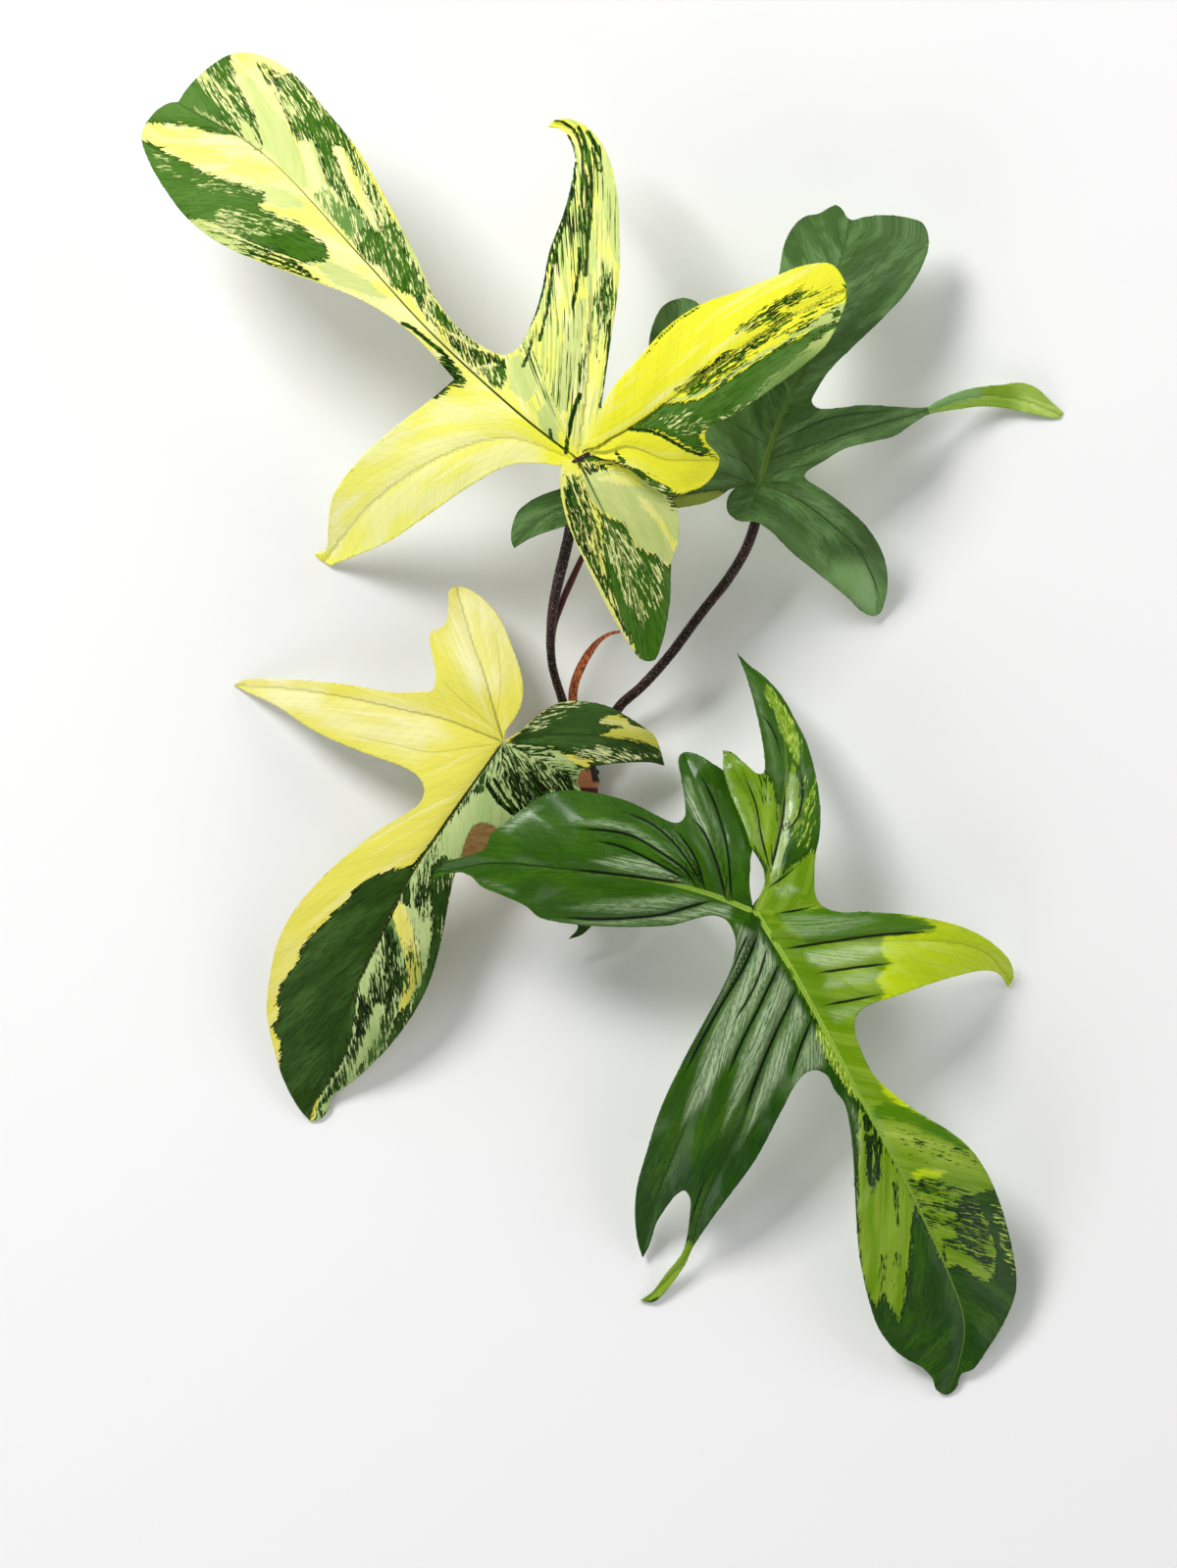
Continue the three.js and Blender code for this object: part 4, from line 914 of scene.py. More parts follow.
def leaf_skin(
    name, tones, ink_tone, glow_tone, roughness, coat, ragged=1.6, soft=0.12, rib_width=0.8,
    vein_shade=0.06, fold_shade=0.5, gloss=0.08,
):
    """Upper skin of a blade. tones: ground, cream, pale, mid, green, dark, and the tone of the painted sheen.
    """
    skin, tree, shader = new_material(name, roughness, coat, gloss)
    patches = node(tree, "Group", {"Ragged": ragged, "Soft": soft}, node_tree=patch_group)
    for field in PATCH_FIELDS:
        tree.links.new(read_attribute(tree, field.lower()), patches.inputs[field])
    for label, tone in zip(TONES, tones):
        patches.inputs[f"{label} tone"].default_value = tint(*tone)
    veins = node(tree, "Group", {"Rib width": rib_width}, node_tree=vein_group)
    tree.links.new(read_attribute(tree, "taper"), veins.inputs["Taper"])
    color = patches.outputs["Color"]
    ink_color = tint(*ink_tone)
    color = blend_colors(tree, multiply(tree, veins.outputs["Side vein"], vein_shade), color, ink_color)
    fine_veins = multiply(tree, step_between(tree, veins.outputs["Fine vein"], 0.42, 0.66), vein_shade)
    color = blend_colors(tree, fine_veins, color, ink_color)
    rib_line = veins.outputs["Rib"]
    glow = multiply(tree, step_between(tree, rib_line, 0.1, 0.45), read_attribute(tree, "glow"))
    color = blend_colors(tree, glow, color, tint(*glow_tone))
    ink = multiply(tree, step_between(tree, rib_line, 0.35, 0.65), read_attribute(tree, "ink"))
    # Along each crease a dark line of painted shade
    from_fold = calculate(tree, "ABSOLUTE", read_attribute(tree, "fold_side"))
    inside_fold = calculate(tree, "SUBTRACT", read_attribute(tree, "fold_width"), from_fold)
    folds = multiply(tree, step_between(tree, inside_fold, -0.25, 0.15), fold_shade)
    color = blend_colors(tree, calculate(tree, "MAXIMUM", ink, folds), color, ink_color)
    paint(tree, shader, color)
    if coat:
        open_share = calculate(tree, "SUBTRACT", 1.0, folds)
        tree.links.new(multiply(tree, open_share, coat), shader.inputs["Coat Weight"])
    grain = speckle(tree, 1.1, 4)
    tree.links.new(multiply_add(tree, grain, 0.22, roughness - 0.1), shader.inputs["Roughness"])
    bump(tree, shader, calculate(tree, "ADD", veins.outputs["Height"], multiply(tree, grain, 0.5)), 0.1)
    return skin


def leaf_underside(name, tone, vein_tone):
    """Lower skin: paler and duller, with the side veins showing as fine lines."""
    skin, tree, shader = new_material(name, 0.6)
    veins = node(tree, "Group", {"Rib width": 1.2}, node_tree=vein_group)
    tree.links.new(read_attribute(tree, "taper"), veins.inputs["Taper"])
    cloudy = blend_colors(tree, speckle(tree, 5, 3), tint(*tone), tint(*(c * 0.8 for c in tone)))
    marks = multiply(tree, veins.outputs["Side vein"], 0.5)
    paint(tree, shader, blend_colors(tree, marks, cloudy, tint(*vein_tone)))
    bump(tree, shader, veins.outputs["Height"], -0.15)
    return skin


def rib_skin(name, tone):
    skin, tree, shader = new_material(name, 0.5)
    grain = speckle(tree, 1.6, 3)
    paint(tree, shader, blend_colors(tree, grain, tint(*tone), tint(*(c * 0.75 for c in tone))))
    bump(tree, shader, grain, 0.1)
    return skin


def grow_leaf(side, leaf, upper_skin, below_tones, rib_tone):
    """One leaf: its blade between its upper and lower skin, and the ribs under it."""
    below_skin = leaf_underside(f"{side}_below", *below_tones)
    ribs_skin = rib_skin(f"{side}_ribs", rib_tone)
    blade_piece(f"blade_{side}", leaf, upper_skin, below_skin, f"leaf_{side}")
    rib_piece(f"ribs_{side}", leaf, ribs_skin)


# Upper left leaf: the highest one, bright yellow and cream with streaks and blotches of green.
# Its six lobes spread from the stalk's top, and it lies over the upper right leaf's inner lobes.
UPPER_LEFT = {"rib_groove": 0.3, "pleat": 0.35}
UPPER_LEFT["outline"] = [(-136, 252, CORNER), (-139, 251.7), (-144, 248.5), (-148.5, 241), (-146.5, 233),
    (-141, 223), (-133, 212.5), (-121, 203.5), (-105, 196.5), (-88, 190.5), (-72, 183.8), (-58, 174.5),
    (-49, 165.5), (-42.2, 157.7, CORNER), (-50, 151), (-63, 141), (-75, 130), (-83.5, 118), (-85.2, 108),
    (-86, 100), (-90, 98.3, CORNER), (-87, 96), (-84.2, 94.5, CORNER), (-78, 97), (-65, 102.5), (-53, 110.5),
    (-37, 121.5), (-24, 128.5), (-14, 129.3), (-5.8, 128.3, CORNER), (-6.2, 121), (-4, 110), (2, 96),
    (10, 80), (17, 68), (21.5, 62.5), (25.5, 62.3), (28.5, 69), (31, 83), (31.5, 95), (34, 104.5),
    (32.7, 114), (29.5, 118.2), (24, 122), (18, 126.3), (12, 129.5), (6, 131.3), (1.5, 131.9, CORNER),
    (6.5, 133.2), (12.5, 132.3), (18.5, 128.6), (24, 124.4), (28, 121.8), (32, 120.5), (38, 120), (43, 122.2),
    (47, 127.5), (47.8, 131), (46, 133.4), (43.3, 136.5), (42.8, 139.3), (45, 142.2), (53, 146), (64, 153.5),
    (75, 161.5), (84, 169.5), (88.3, 177.5), (91, 186), (90.3, 191), (86, 196.7), (78, 196.8), (66, 192.5),
    (55, 188), (41, 183), (30, 175.5), (20, 164.5), (12, 155.5), (7.5, 148, CORNER), (9, 158), (11, 172),
    (13.5, 190), (13.8, 205), (12.8, 222), (9.5, 234.5), (4, 242.3), (-3, 246.2), (-8.5, 245.6),
    (-10.3, 243.7, CORNER), (-5.5, 242.5), (-1.5, 235), (-1.8, 228), (-5, 214.5), (-10, 201), (-12.5, 188),
    (-16, 177), (-21, 168), (-25.5, 166), (-31, 168), (-40, 174.5), (-48.5, 185), (-55.5, 200), (-65, 218),
    (-75, 235.5), (-86, 249.3), (-97, 261.5), (-107, 267.5), (-117, 268.5), (-126, 263.5), (-133.5, 256)]
UPPER_LEFT["heights"] = [(-1.5, 131, 82), (-20, 146, 86), (-50, 173.5, 88), (-74, 199.5, 86), (-100, 228, 78),
    (-120, 244, 70), (-136, 252, 60), (-60, 209, 84), (-102, 265, 64), (-147, 241, 54), (-127, 207.5, 68),
    (-97, 193.5, 78), (-65, 179.5, 84), (-27, 166, 86), (3, 165, 86), (2, 190, 80), (2, 215, 68),
    (0, 235, 52), (-9, 244, 44), (13.7, 205, 70), (-9, 203, 72), (17, 141, 82), (30, 150, 80), (50, 165, 76),
    (70, 179, 69), (90, 188, 58), (48, 186, 70), (75, 161.5, 66), (43, 139, 73), (25, 131, 76), (38, 127, 69),
    (46, 130, 64), (32, 121, 68), (5, 122, 79), (14, 105, 68), (20, 88, 54), (22, 74, 42), (24, 63, 34),
    (-5, 114, 70), (33, 105, 60), (31, 88, 50), (6, 88, 52), (-24, 137, 80), (-45, 129, 68), (-50, 151, 74),
    (-65, 120, 46), (-80, 110, 22), (-86, 96.5, 1.4), (-89.8, 98.3, 1.2), (-84.2, 94.5, 1.6)]
UPPER_LEFT["ribs"] = smooth_ribs([
    dict(slant=28, lean=0.7, thick=1.1, ink=[1, 1, 0.9, 0.9, 0.7, 0.2],
        line=[(-1.5, 131.5), (-20, 146), (-50, 173.5), (-74, 199.5), (-108, 235), (-135, 251)]),
    dict(slant=8, lean=1.4, vein_step=16, line=[(-3, 131.5), (-25, 138), (-50, 130), (-70, 116), (-86, 97)]),
    dict(slant=2, lean=1.8, vein_step=18,
        line=[(0, 134), (2, 150), (4, 175), (3, 205), (2, 228), (0.5, 238), (-4, 243.5), (-8.5, 244.8)]),
    dict(slant=2, lean=1.6, vein_step=18, ink=[0.8, 0.8, 0.4, 0.1, 0, 0],
        line=[(2, 133.5), (17, 141), (30, 150), (50, 165), (70, 178), (88, 187)]),
    dict(thick=0.6, ink=[0.5, 0.2, 0], line=[(4, 134), (17, 135), (30, 130.5), (46, 130.5)]),
    dict(slant=5, lean=1.3, thick=0.8, ink=[0.9, 0.4, 0.1, 0],
        line=[(0, 130), (4, 122), (12, 105), (18, 88), (22, 74), (24, 64)]),
])
UPPER_LEFT["tucks"] = [
    (
        [(2.5, 131.9), (6, 132.2), (12, 130.9), (18, 127.5), (24, 123.2), (30, 119.9), (36, 113)],
        7,
        (0.5, -2.9, 1.2),
        (0.3, 1.1, -2.2),
    ),
]
UPPER_LEFT["patches"] = [
    ("stripes", 0.5, [(-29, 158), (-25, 166), (-16, 177), (-12, 190), (-9, 203), (-4, 215), (-1, 230),
        (-4, 242), (-9, 246), (4, 245), (11, 236), (14, 222), (15, 205), (15, 190), (12, 172), (8, 150),
        (0, 134), (-14, 146)]),
    ("green", [(-152, 245), (-143, 244.6), (-136, 244.3), (-131, 243.5), (-127, 242), (-122, 241),
        (-117, 240.2), (-114.5, 240.6), (-111, 237), (-108, 235), (-107.6, 238), (-109, 243), (-111, 249),
        (-114, 254), (-116.5, 258), (-117.5, 263), (-118.5, 269), (-130, 272), (-142, 256)]),
    ("pale", [(-115, 246), (-111, 243), (-107.5, 237), (-108, 234.8), (-111, 237), (-114, 241)]),
    ("scratch", 0.45, [(-131, 262), (-124, 266), (-118, 264), (-116, 256), (-112, 250), (-109, 243),
        (-111, 239), (-117, 243), (-122, 250), (-128, 257)]),
    ("pale", [(-131, 250.5), (-124, 247), (-115, 241.6), (-114.6, 240.6), (-122, 244.6), (-131, 249.4)]),
    ("green", [(-152, 240.5), (-145, 238), (-140, 235.3), (-135, 232.3), (-131, 230.3), (-127, 227.7),
        (-120, 225.3), (-112, 222.8), (-105, 220.7), (-106, 218.8), (-109, 217.3), (-107.5, 215),
        (-97, 211.5), (-93, 209), (-90, 206), (-86.5, 204), (-85, 201.5), (-85.2, 198.6), (-90, 197),
        (-96, 198.6), (-104, 201.3), (-113, 205.2), (-120, 209), (-127, 212), (-133, 212), (-140, 216),
        (-148, 228)]),
    ("marble", 0.6, [(-110, 266), (-104, 263.5), (-97, 260), (-92, 254), (-100, 258), (-106, 258)]),
    ("scratch", 0.38, [(-147, 238), (-133, 227.5), (-118, 224), (-108, 221), (-112, 219), (-128, 222.5),
        (-142, 229)]),
    ("scratch", 0.42, [(-123, 216.5), (-110, 214.5), (-98, 212), (-96, 209), (-103, 205.5), (-116, 207),
        (-124, 211)]),
    ("pale", [(-134, 212.5), (-124, 209.5), (-113, 204.5), (-104, 200.7), (-103, 199), (-110, 199),
        (-122, 203), (-131, 208)]),
    ("marble", 0.5, [(-129, 211), (-118, 207), (-104, 201), (-93, 196.5), (-94, 194), (-108, 198),
        (-124, 205)]),
    ("stroke", 0.9, [(-112, 201), (-104, 198.6), (-97, 196.2), (-91.5, 194)]),
    ("stroke", 0.7, [(-108, 198.2), (-101, 195.8), (-94, 193.4), (-88.3, 191.8)]),
    ("stroke", 0.9, [(-110, 203), (-100, 198.8), (-94, 196)]),
    ("pale", [(-119, 224.8), (-110, 224.2), (-101, 222.6), (-92, 217.3), (-95, 216), (-103, 216.5),
        (-107.5, 219), (-105.5, 221.5), (-112, 223.3)]),
    ("pale", [(-89, 197.5), (-84, 197.5), (-78, 195), (-72, 191.5), (-68, 188), (-64, 185.3), (-68, 185.2),
        (-75, 187.5), (-82, 190), (-87, 194)]),
    ("stroke", 1.2, [(-60, 177), (-56.5, 175.3), (-52, 171.5), (-48, 168.3), (-44.5, 165.3)]),
    ("marble", 0.95, [(-46.5, 167), (-43.5, 165), (-41, 161.5), (-38, 157), (-40, 155.5), (-43, 155.5),
        (-50, 150.5), (-48, 156), (-46, 158), (-47, 162)]),
    ("pale", [(-113.5, 262), (-109, 258), (-104.5, 250), (-99.5, 245), (-95.5, 237), (-93, 229),
        (-91.8, 222.5), (-95, 223.5), (-101, 229.5), (-107.5, 237.5), (-109.5, 245), (-111.5, 252),
        (-115, 257)]),
    ("green", [(-104.5, 260), (-101, 251), (-99, 245), (-95, 239), (-90, 238), (-87.5, 231), (-84, 223),
        (-80, 218), (-76, 214), (-72, 209), (-68, 203), (-64, 197), (-60, 190), (-57, 186), (-54, 186),
        (-50, 188), (-54, 195), (-58, 203), (-64, 214), (-72, 229), (-80, 243), (-88, 252), (-97, 262)]),
    ("pale", [(-92, 238), (-90, 239), (-86.5, 228), (-85, 221), (-87.5, 224)]),
    ("ground", [(-83.6, 236.5), (-80.5, 237), (-71.5, 218), (-67, 207.5), (-70, 208.5), (-78, 222)]),
    ("scratch", 0.45, [(-104, 262), (-100, 248), (-94, 238), (-86, 232), (-82, 220), (-70, 206), (-58, 187),
        (-50, 188), (-60, 210), (-80, 244), (-96, 262)]),
    ("mid", [(-90.5, 220.5), (-87, 222.5), (-84, 222), (-80, 217), (-75, 215.5), (-71, 209.5), (-73, 205),
        (-73, 199), (-79, 207), (-84.5, 213), (-89, 218)]),
    ("green", [(-75, 209), (-71, 209.5), (-66, 205), (-63, 199), (-60.5, 196), (-57, 186), (-63.5, 190),
        (-67, 195), (-73, 199), (-77, 204.5)]),
    ("scratch", 0.5, [(-92, 221), (-82, 223), (-74, 215), (-70, 206), (-76, 202), (-88, 216)]),
    ("scratch", 0.36, [(-75, 210), (-66, 205), (-57, 190), (-64, 190), (-76, 203)]),
    ("pale", [(-60.5, 208.5), (-55, 208), (-51, 198), (-46, 188), (-50.5, 187.5), (-54, 193.5),
        (-59, 202.5)]),
    ("marble", 0.7, [(-60.5, 198), (-55, 193), (-50.5, 187.5), (-45, 180), (-38, 172), (-31, 167), (-24, 164),
        (-19, 168), (-22, 162), (-24, 158), (-26, 154.5), (-30, 156.5), (-35, 161.5), (-41, 167),
        (-49, 175.5), (-56, 184.5), (-60, 190)]),
    ("green", [(-51, 187), (-44, 178), (-36, 171), (-30, 167), (-36, 169), (-44, 174), (-52, 181)]),
    ("green", [(-34.5, 161.5), (-29, 163), (-25, 161), (-25, 157.5), (-26.3, 154.7), (-29, 155.8)]),
    ("scratch", 0.5, [(-52, 188), (-30, 168), (-25, 155), (-35, 161), (-52, 180)]),
    ("pale", [(-24.5, 164), (-20, 166.5), (-17.5, 163.5), (-13, 158), (-15.5, 152), (-18, 150),
        (-23.5, 154.5)]),
    ("pale", [(-14.5, 146), (-11, 150), (-8, 158), (-7.5, 145), (-6.5, 137), (-9, 136.5), (-13, 142)]),
    ("pale", [(-7, 160), (-3.5, 176), (0, 184), (2.5, 186), (1, 170), (-1.5, 157), (-4, 148), (-6.5, 146)]),
    ("pale", [(2.5, 187), (3.5, 200), (5, 212), (6.2, 203), (5.5, 192), (4.5, 186)]),
    ("pale", [(6.5, 222), (8, 234), (10, 234), (13, 221), (14.5, 207), (14.5, 196), (12.2, 198), (9.5, 208)]),
    ("lines", 0.42, [(-22, 168), (-16, 172), (-12, 180), (-9, 195), (-5, 210), (0, 225), (4, 236), (8, 237),
        (6, 222), (4, 208), (2, 194), (0, 182), (-4, 178), (-3, 200), (-8, 190), (-14, 172)]),
    ("lines", 0.24, [(-20, 165), (-8, 190), (0, 200), (8, 230), (14, 215), (12, 170), (0, 140), (-12, 148)]),
    ("stroke", 1.1, [(-1.2, 231), (-1.4, 226), (-3.9, 217.5), (-6.8, 210), (-9.2, 203), (-10.8, 197),
        (-12.2, 189), (-14.3, 181), (-17, 176), (-19.5, 171)]),
    ("stroke", 1, [(-1.8, 222), (-4, 214.5), (-6.3, 206.5), (-8.2, 200), (-9.4, 191), (-10.8, 181),
        (-13.4, 171)]),
    ("stroke", 0.9, [(-15.5, 172), (-17, 166.5), (-19, 162)]),
    ("stroke", 1, [(-8, 245.6), (-5, 244.8), (-2, 242.8), (0, 239.5), (1.2, 234), (1.4, 226), (0.8, 218),
        (-0.4, 208)]),
    ("stroke", 0.7, [(-3.5, 240.5), (-2, 236.5), (-1.3, 233)]),
    ("stroke", 1.2, [(0, 243.5), (1.6, 240), (3.2, 233), (4.3, 226), (4.3, 220), (3.8, 212), (3, 205),
        (2.6, 199), (2.2, 193)]),
    ("stroke", 0.8, [(2.9, 227), (2.7, 219), (1.9, 212), (1.2, 207)]),
    ("stroke", 1.1, [(0.2, 202), (0.1, 195), (-0.8, 189), (-2.2, 182)]),
    ("stroke", 1.4, [(3.2, 241.5), (5, 238.5), (7, 234)]),
    ("stroke", 0.8, [(4.5, 236), (5.8, 231), (6.6, 228.5)]),
    ("stroke", 0.6, [(7.4, 231), (8.2, 227)]),
    ("marble", 0.5, [(4.2, 180), (6, 190), (8, 194), (11.5, 194), (12, 184), (11, 172), (9, 163), (6.5, 163),
        (4, 168), (1.8, 158), (0.2, 160), (2, 172)]),
    ("stroke", 1.1, [(10.6, 178), (10.2, 168), (9.4, 160), (8.6, 153), (7.3, 148.5)]),
    ("stroke", 1.3, [(0.3, 152.5), (-1.4, 148.5), (-2.8, 143), (-3.8, 137), (-4.4, 133)]),
    ("stroke", 0.9, [(-9.7, 141), (-9.2, 137.5)]),
    ("stroke", 0.6, [(0, 163), (0.2, 157), (-0.5, 154)]),
    ("pale", [(30, 151), (36, 152), (40, 153.5), (50, 159.5), (60, 165.5), (70, 171.5), (80, 178),
        (88, 183.5), (92, 184), (90, 177), (86, 176.5), (80, 175), (70, 170), (60, 164), (50, 157.5),
        (40, 151.5), (30, 150)]),
    ("marble", 0.68, [(31, 154), (42, 162.5), (52, 168), (59, 169), (58, 162), (47, 156), (38, 152)]),
    ("marble", 0.64, [(44, 161), (56, 169.5), (64, 176), (71, 181), (75, 180), (64, 169.5), (52, 161.5)]),
    ("marble", 0.6, [(52, 173), (60, 180), (68, 185.5), (77, 189), (77, 185), (66, 177.5), (58, 174)]),
    ("marble", 0.56, [(64, 170.5), (76, 180), (84, 186), (91, 191), (92, 185), (86, 180), (78, 175.5)]),
    ("marble", 0.5, [(74, 185.5), (80, 188.4), (86, 189), (87, 187), (84, 185.5)]),
    ("green", [(85.8, 177.5), (87.3, 181.3), (88.6, 180.5), (87.5, 177.2)]),
    ("green", [(17.5, 141.1), (22, 144.5), (28, 149.3), (34, 150), (41, 151.3), (50, 157.3), (60, 164),
        (70, 170), (80, 175), (87, 177), (92, 172), (75, 155), (55, 140), (44, 141), (40.5, 139), (43.5, 134),
        (47, 131), (41, 132.6), (37, 134.8), (32, 138), (26, 140.6)]),
    # A pale rim along the right lobe's lower edge: a painted sheen
    ("pale", [(60, 151.6), (66, 157.3), (70.5, 162), (77, 168), (82.5, 172.6), (88.5, 176), (93, 172),
        (78, 158), (64, 148)]),
    ("scratch", 0.5, [(58, 152), (64, 158), (70, 162.4), (76, 164), (74, 160), (66, 153)]),
    ("scratch", 0.4, [(28, 144), (36, 147), (44, 145), (46, 140), (38, 138), (30, 141)]),
    ("scratch", 0.5, [(44, 142), (50, 146), (57, 150.5), (62, 154), (66, 150), (54, 140), (46, 137)]),
    # A painted shadow: the dark line where the right lobe's edge lies over the small lobe
    ("stroke", 1.1, [(17, 141), (24, 140.3), (29, 138.4), (34, 135.4), (38, 133.3), (42, 132.2)]),
    ("stroke", 0.5, [(22, 165.2), (28, 172.2), (34, 178), (41, 182.4)]),
    ("stroke", 0.8, [(12.3, 134.4), (14, 132.5), (16, 130.5)]),
    ("marble", 0.7, [(-1, 129.7), (4, 130.7), (10, 130.9), (16, 129.3), (10, 126.5), (5, 124.5), (1, 125)]),
    ("pale", [(1, 124.5), (6, 126), (12, 127), (20, 123), (28, 119), (35, 110), (36, 98), (31.2, 95),
        (28, 95.5), (26, 98.5), (22, 99.5), (19.5, 101), (18, 104), (14.5, 109), (8, 113), (5, 115.5),
        (3, 120)]),
    ("ground", [(5, 124), (11, 125.5), (18, 124), (22, 120.5), (17, 121.5), (11, 122.5)]),
    ("ground", [(19, 118.5), (23, 117), (28, 110.5), (32, 104), (36, 99), (31.5, 99.5), (30, 104), (26, 110),
        (22, 114)]),
    ("green", [(-1, 129.7), (4, 129.6), (10, 129.2), (16, 127), (22, 123), (28, 118.6), (31.5, 113),
        (35, 114), (34, 120), (27, 124.5), (20, 129), (12, 132), (4, 133)]),
    ("scratch", 0.5, [(8, 132), (18, 129), (28, 123), (34, 116), (30, 114), (20, 124), (10, 129)]),
    ("marble", 0.66, [(-5, 125.5), (0, 125), (3, 120), (5, 115.5), (8, 113), (9, 104), (10, 94), (13, 84),
        (10, 84), (6, 92), (1, 101), (-3, 109), (-5, 118)]),
    ("green", [(7.5, 112.5), (14.5, 109), (18, 104), (19.5, 101), (22, 99.5), (26, 98.5), (28, 95.5),
        (31.2, 95), (36, 85), (33, 70), (27, 58), (20, 58), (17, 68), (13.5, 78), (11, 86), (9, 94),
        (8, 102)]),
    ("scratch", 0.5, [(8, 111), (15, 106), (21, 98), (28, 94), (28, 84), (22, 73), (15, 84), (10, 96)]),
    ("ground", [(-8, 126), (-5.3, 125), (-4.8, 117), (-3.2, 109), (0.6, 101), (4, 95), (8, 87.5), (11.5, 80),
        (15.5, 73), (18.6, 67.2), (21, 60), (14, 62), (5, 80), (-3, 95), (-9, 110)]),
    ("stroke", 0.8, [(-4.7, 121), (-3.4, 112), (-0.4, 103), (4, 95.4), (8, 87.8), (11.5, 80.6),
        (16.5, 71.5)]),
]
UPPER_LEFT["cream"] = [
    (0.85, [(-155, 240), (-120, 275), (-95, 265), (-50, 190), (-22, 158), (-12, 142), (-40, 155), (-60, 172),
        (-90, 188), (-130, 205)]),
    (0.8, [(-29, 160), (-12, 200), (-4, 242), (10, 240), (16, 205), (10, 150), (0, 134)]),
    (0.8, [(-90, 100), (-84, 122), (-66, 144), (-48, 154), (-26, 146), (-12, 135), (-12, 128), (-36, 120),
        (-60, 104), (-80, 95)]),
    (1, [(-128, 240), (-114, 238.5), (-103, 229), (-112, 226), (-124, 230.5)]),
    (0.8, [(-88, 190), (-60, 182), (-45, 165), (-60, 173), (-75, 183), (-100, 192)]),
    (0.7, [(-8, 128), (12, 128), (34, 118), (36, 95), (26, 60), (15, 62), (-6, 100)]),
]
UPPER_LEFT["shade"] = [
    (0.6, [(-150, 246), (-131, 246), (-122, 244), (-124, 250), (-130, 257), (-136, 259), (-146, 254)]),
    (0.25, [(-150, 238), (-130, 230), (-108, 220), (-112, 205), (-130, 210), (-146, 226)]),
    # The last wash dulls the painted sheen on the right lobe's lower rim
    (0.9, [(54, 150), (64, 160), (74, 168), (84, 169), (78, 158), (64, 148)]),
]
upper_left_skin = leaf_skin(
    "upper_left_skin",
    [(250, 248, 56), (253, 252, 176), (200, 220, 124), (108, 148, 70), (70, 118, 24), (18, 46, 6),
        (232, 236, 190)],
    (60, 84, 10), (226, 226, 120), 0.42, 0, vein_shade=0.04,
)
grow_leaf(
    "upper_left", UPPER_LEFT, upper_left_skin,
    ((214, 218, 130), (226, 228, 170)), (206, 208, 120),
)

# Upper right leaf: plain green with a satin bloom, painted highlights on its lower lobe and painted light
# over its shaded middle. Its right lobe turns over near the end, shown as a narrow neck with the
# underside's lime beyond it. Its left lobe passes under the upper left leaf.
UPPER_RIGHT = {"rib_groove": 0.5, "pleat": 0.4}
UPPER_RIGHT["outline"] = [(53.2, 120.9, CORNER), (51, 120.3), (48, 118.1), (42.2, 115.6), (35, 114.2),
    (25, 112.7), (12, 110.8), (0, 109), (-6.7, 107.2), (-13.3, 105), (-18.3, 102.8), (-21.9, 100.3, CORNER),
    (-23, 103), (-22.6, 108), (-20.5, 113), (-15.6, 116.9), (-9, 119.7), (-2, 121.6), (10, 123), (25, 124.5),
    (33, 127), (36, 131), (34, 138), (29, 150), (25.5, 160), (23.8, 168), (24.8, 175), (28.3, 182.3),
    (33.5, 185.1), (38.5, 184.8), (42.5, 181.5), (47.5, 174), (52, 165), (56, 160.5), (59.5, 163), (63, 175),
    (66.5, 187), (68.3, 195), (69.7, 203), (72.5, 209), (76.5, 212.9), (81.5, 214), (85, 216), (87.6, 216.9),
    (89.6, 215.3), (91, 213), (92.8, 211.9), (97, 212.9), (104, 213.5), (112, 212.6), (117, 210.6),
    (118.9, 204.6), (117.4, 198), (112, 188.3), (104, 179.3), (94.4, 170), (85.4, 161), (80.9, 154.3),
    (79.1, 150.1), (80.9, 148.1), (86, 147.8), (97, 149), (107, 148.5), (118.6, 148.3), (121, 149.8),
    (126.9, 152.7), (134.6, 154.9), (143.8, 155.9), (150, 156.6), (155.4, 154.9), (160, 150.6),
    (164.5, 146.8, CORNER), (163.5, 144.7), (153.8, 146), (146.2, 147.8), (136.9, 148.6), (127.7, 147.4),
    (121.5, 146.5), (118.3, 145.6), (114.2, 143.2), (107.2, 138.5), (100.1, 136.7), (90.2, 134.1),
    (83.1, 129.9), (77.3, 126.2), (76.8, 124.4), (83.8, 119.6), (91.5, 113.7), (98.8, 106.4), (103.5, 97.9),
    (104.9, 90.3), (104.2, 83.3), (102.3, 78.3), (100.2, 77.3), (96.5, 78.7), (90.8, 84.1), (80.8, 92.2),
    (72.3, 99.1), (65, 106.4), (60, 109.3), (54, 109.8), (50.6, 112.8), (50.4, 116.5), (51.6, 119.2)]
UPPER_RIGHT["heights"] = [(61.7, 122, 42), (66, 138, 45), (74, 158, 46), (82, 178, 44), (89, 198, 38),
    (92.4, 211, 32), (68.5, 196, 38), (76, 213, 28), (118, 204, 22), (110, 186, 30), (95, 171, 38),
    (80, 152, 43), (48, 142, 44), (42, 155, 43), (34, 172, 38), (32, 184, 33), (25, 172, 35), (57, 162, 44),
    (52, 124, 46), (38, 119, 51), (18, 117, 58.5), (0, 115.5, 62), (-12, 111, 60), (-22, 103, 54),
    (75, 131, 42), (90, 139, 38), (105, 143, 30), (118, 147, 20), (135, 152, 10), (150, 152, 4),
    (164.3, 146.4, 0.6), (68, 117, 41), (80, 110, 35), (92, 98, 25), (99, 87, 12), (101, 79, 4),
    (70, 103, 31), (96, 110, 29), (104.5, 91, 11), (84.6, 89.5, 20), (53, 114, 39), (60, 110, 38.5)]
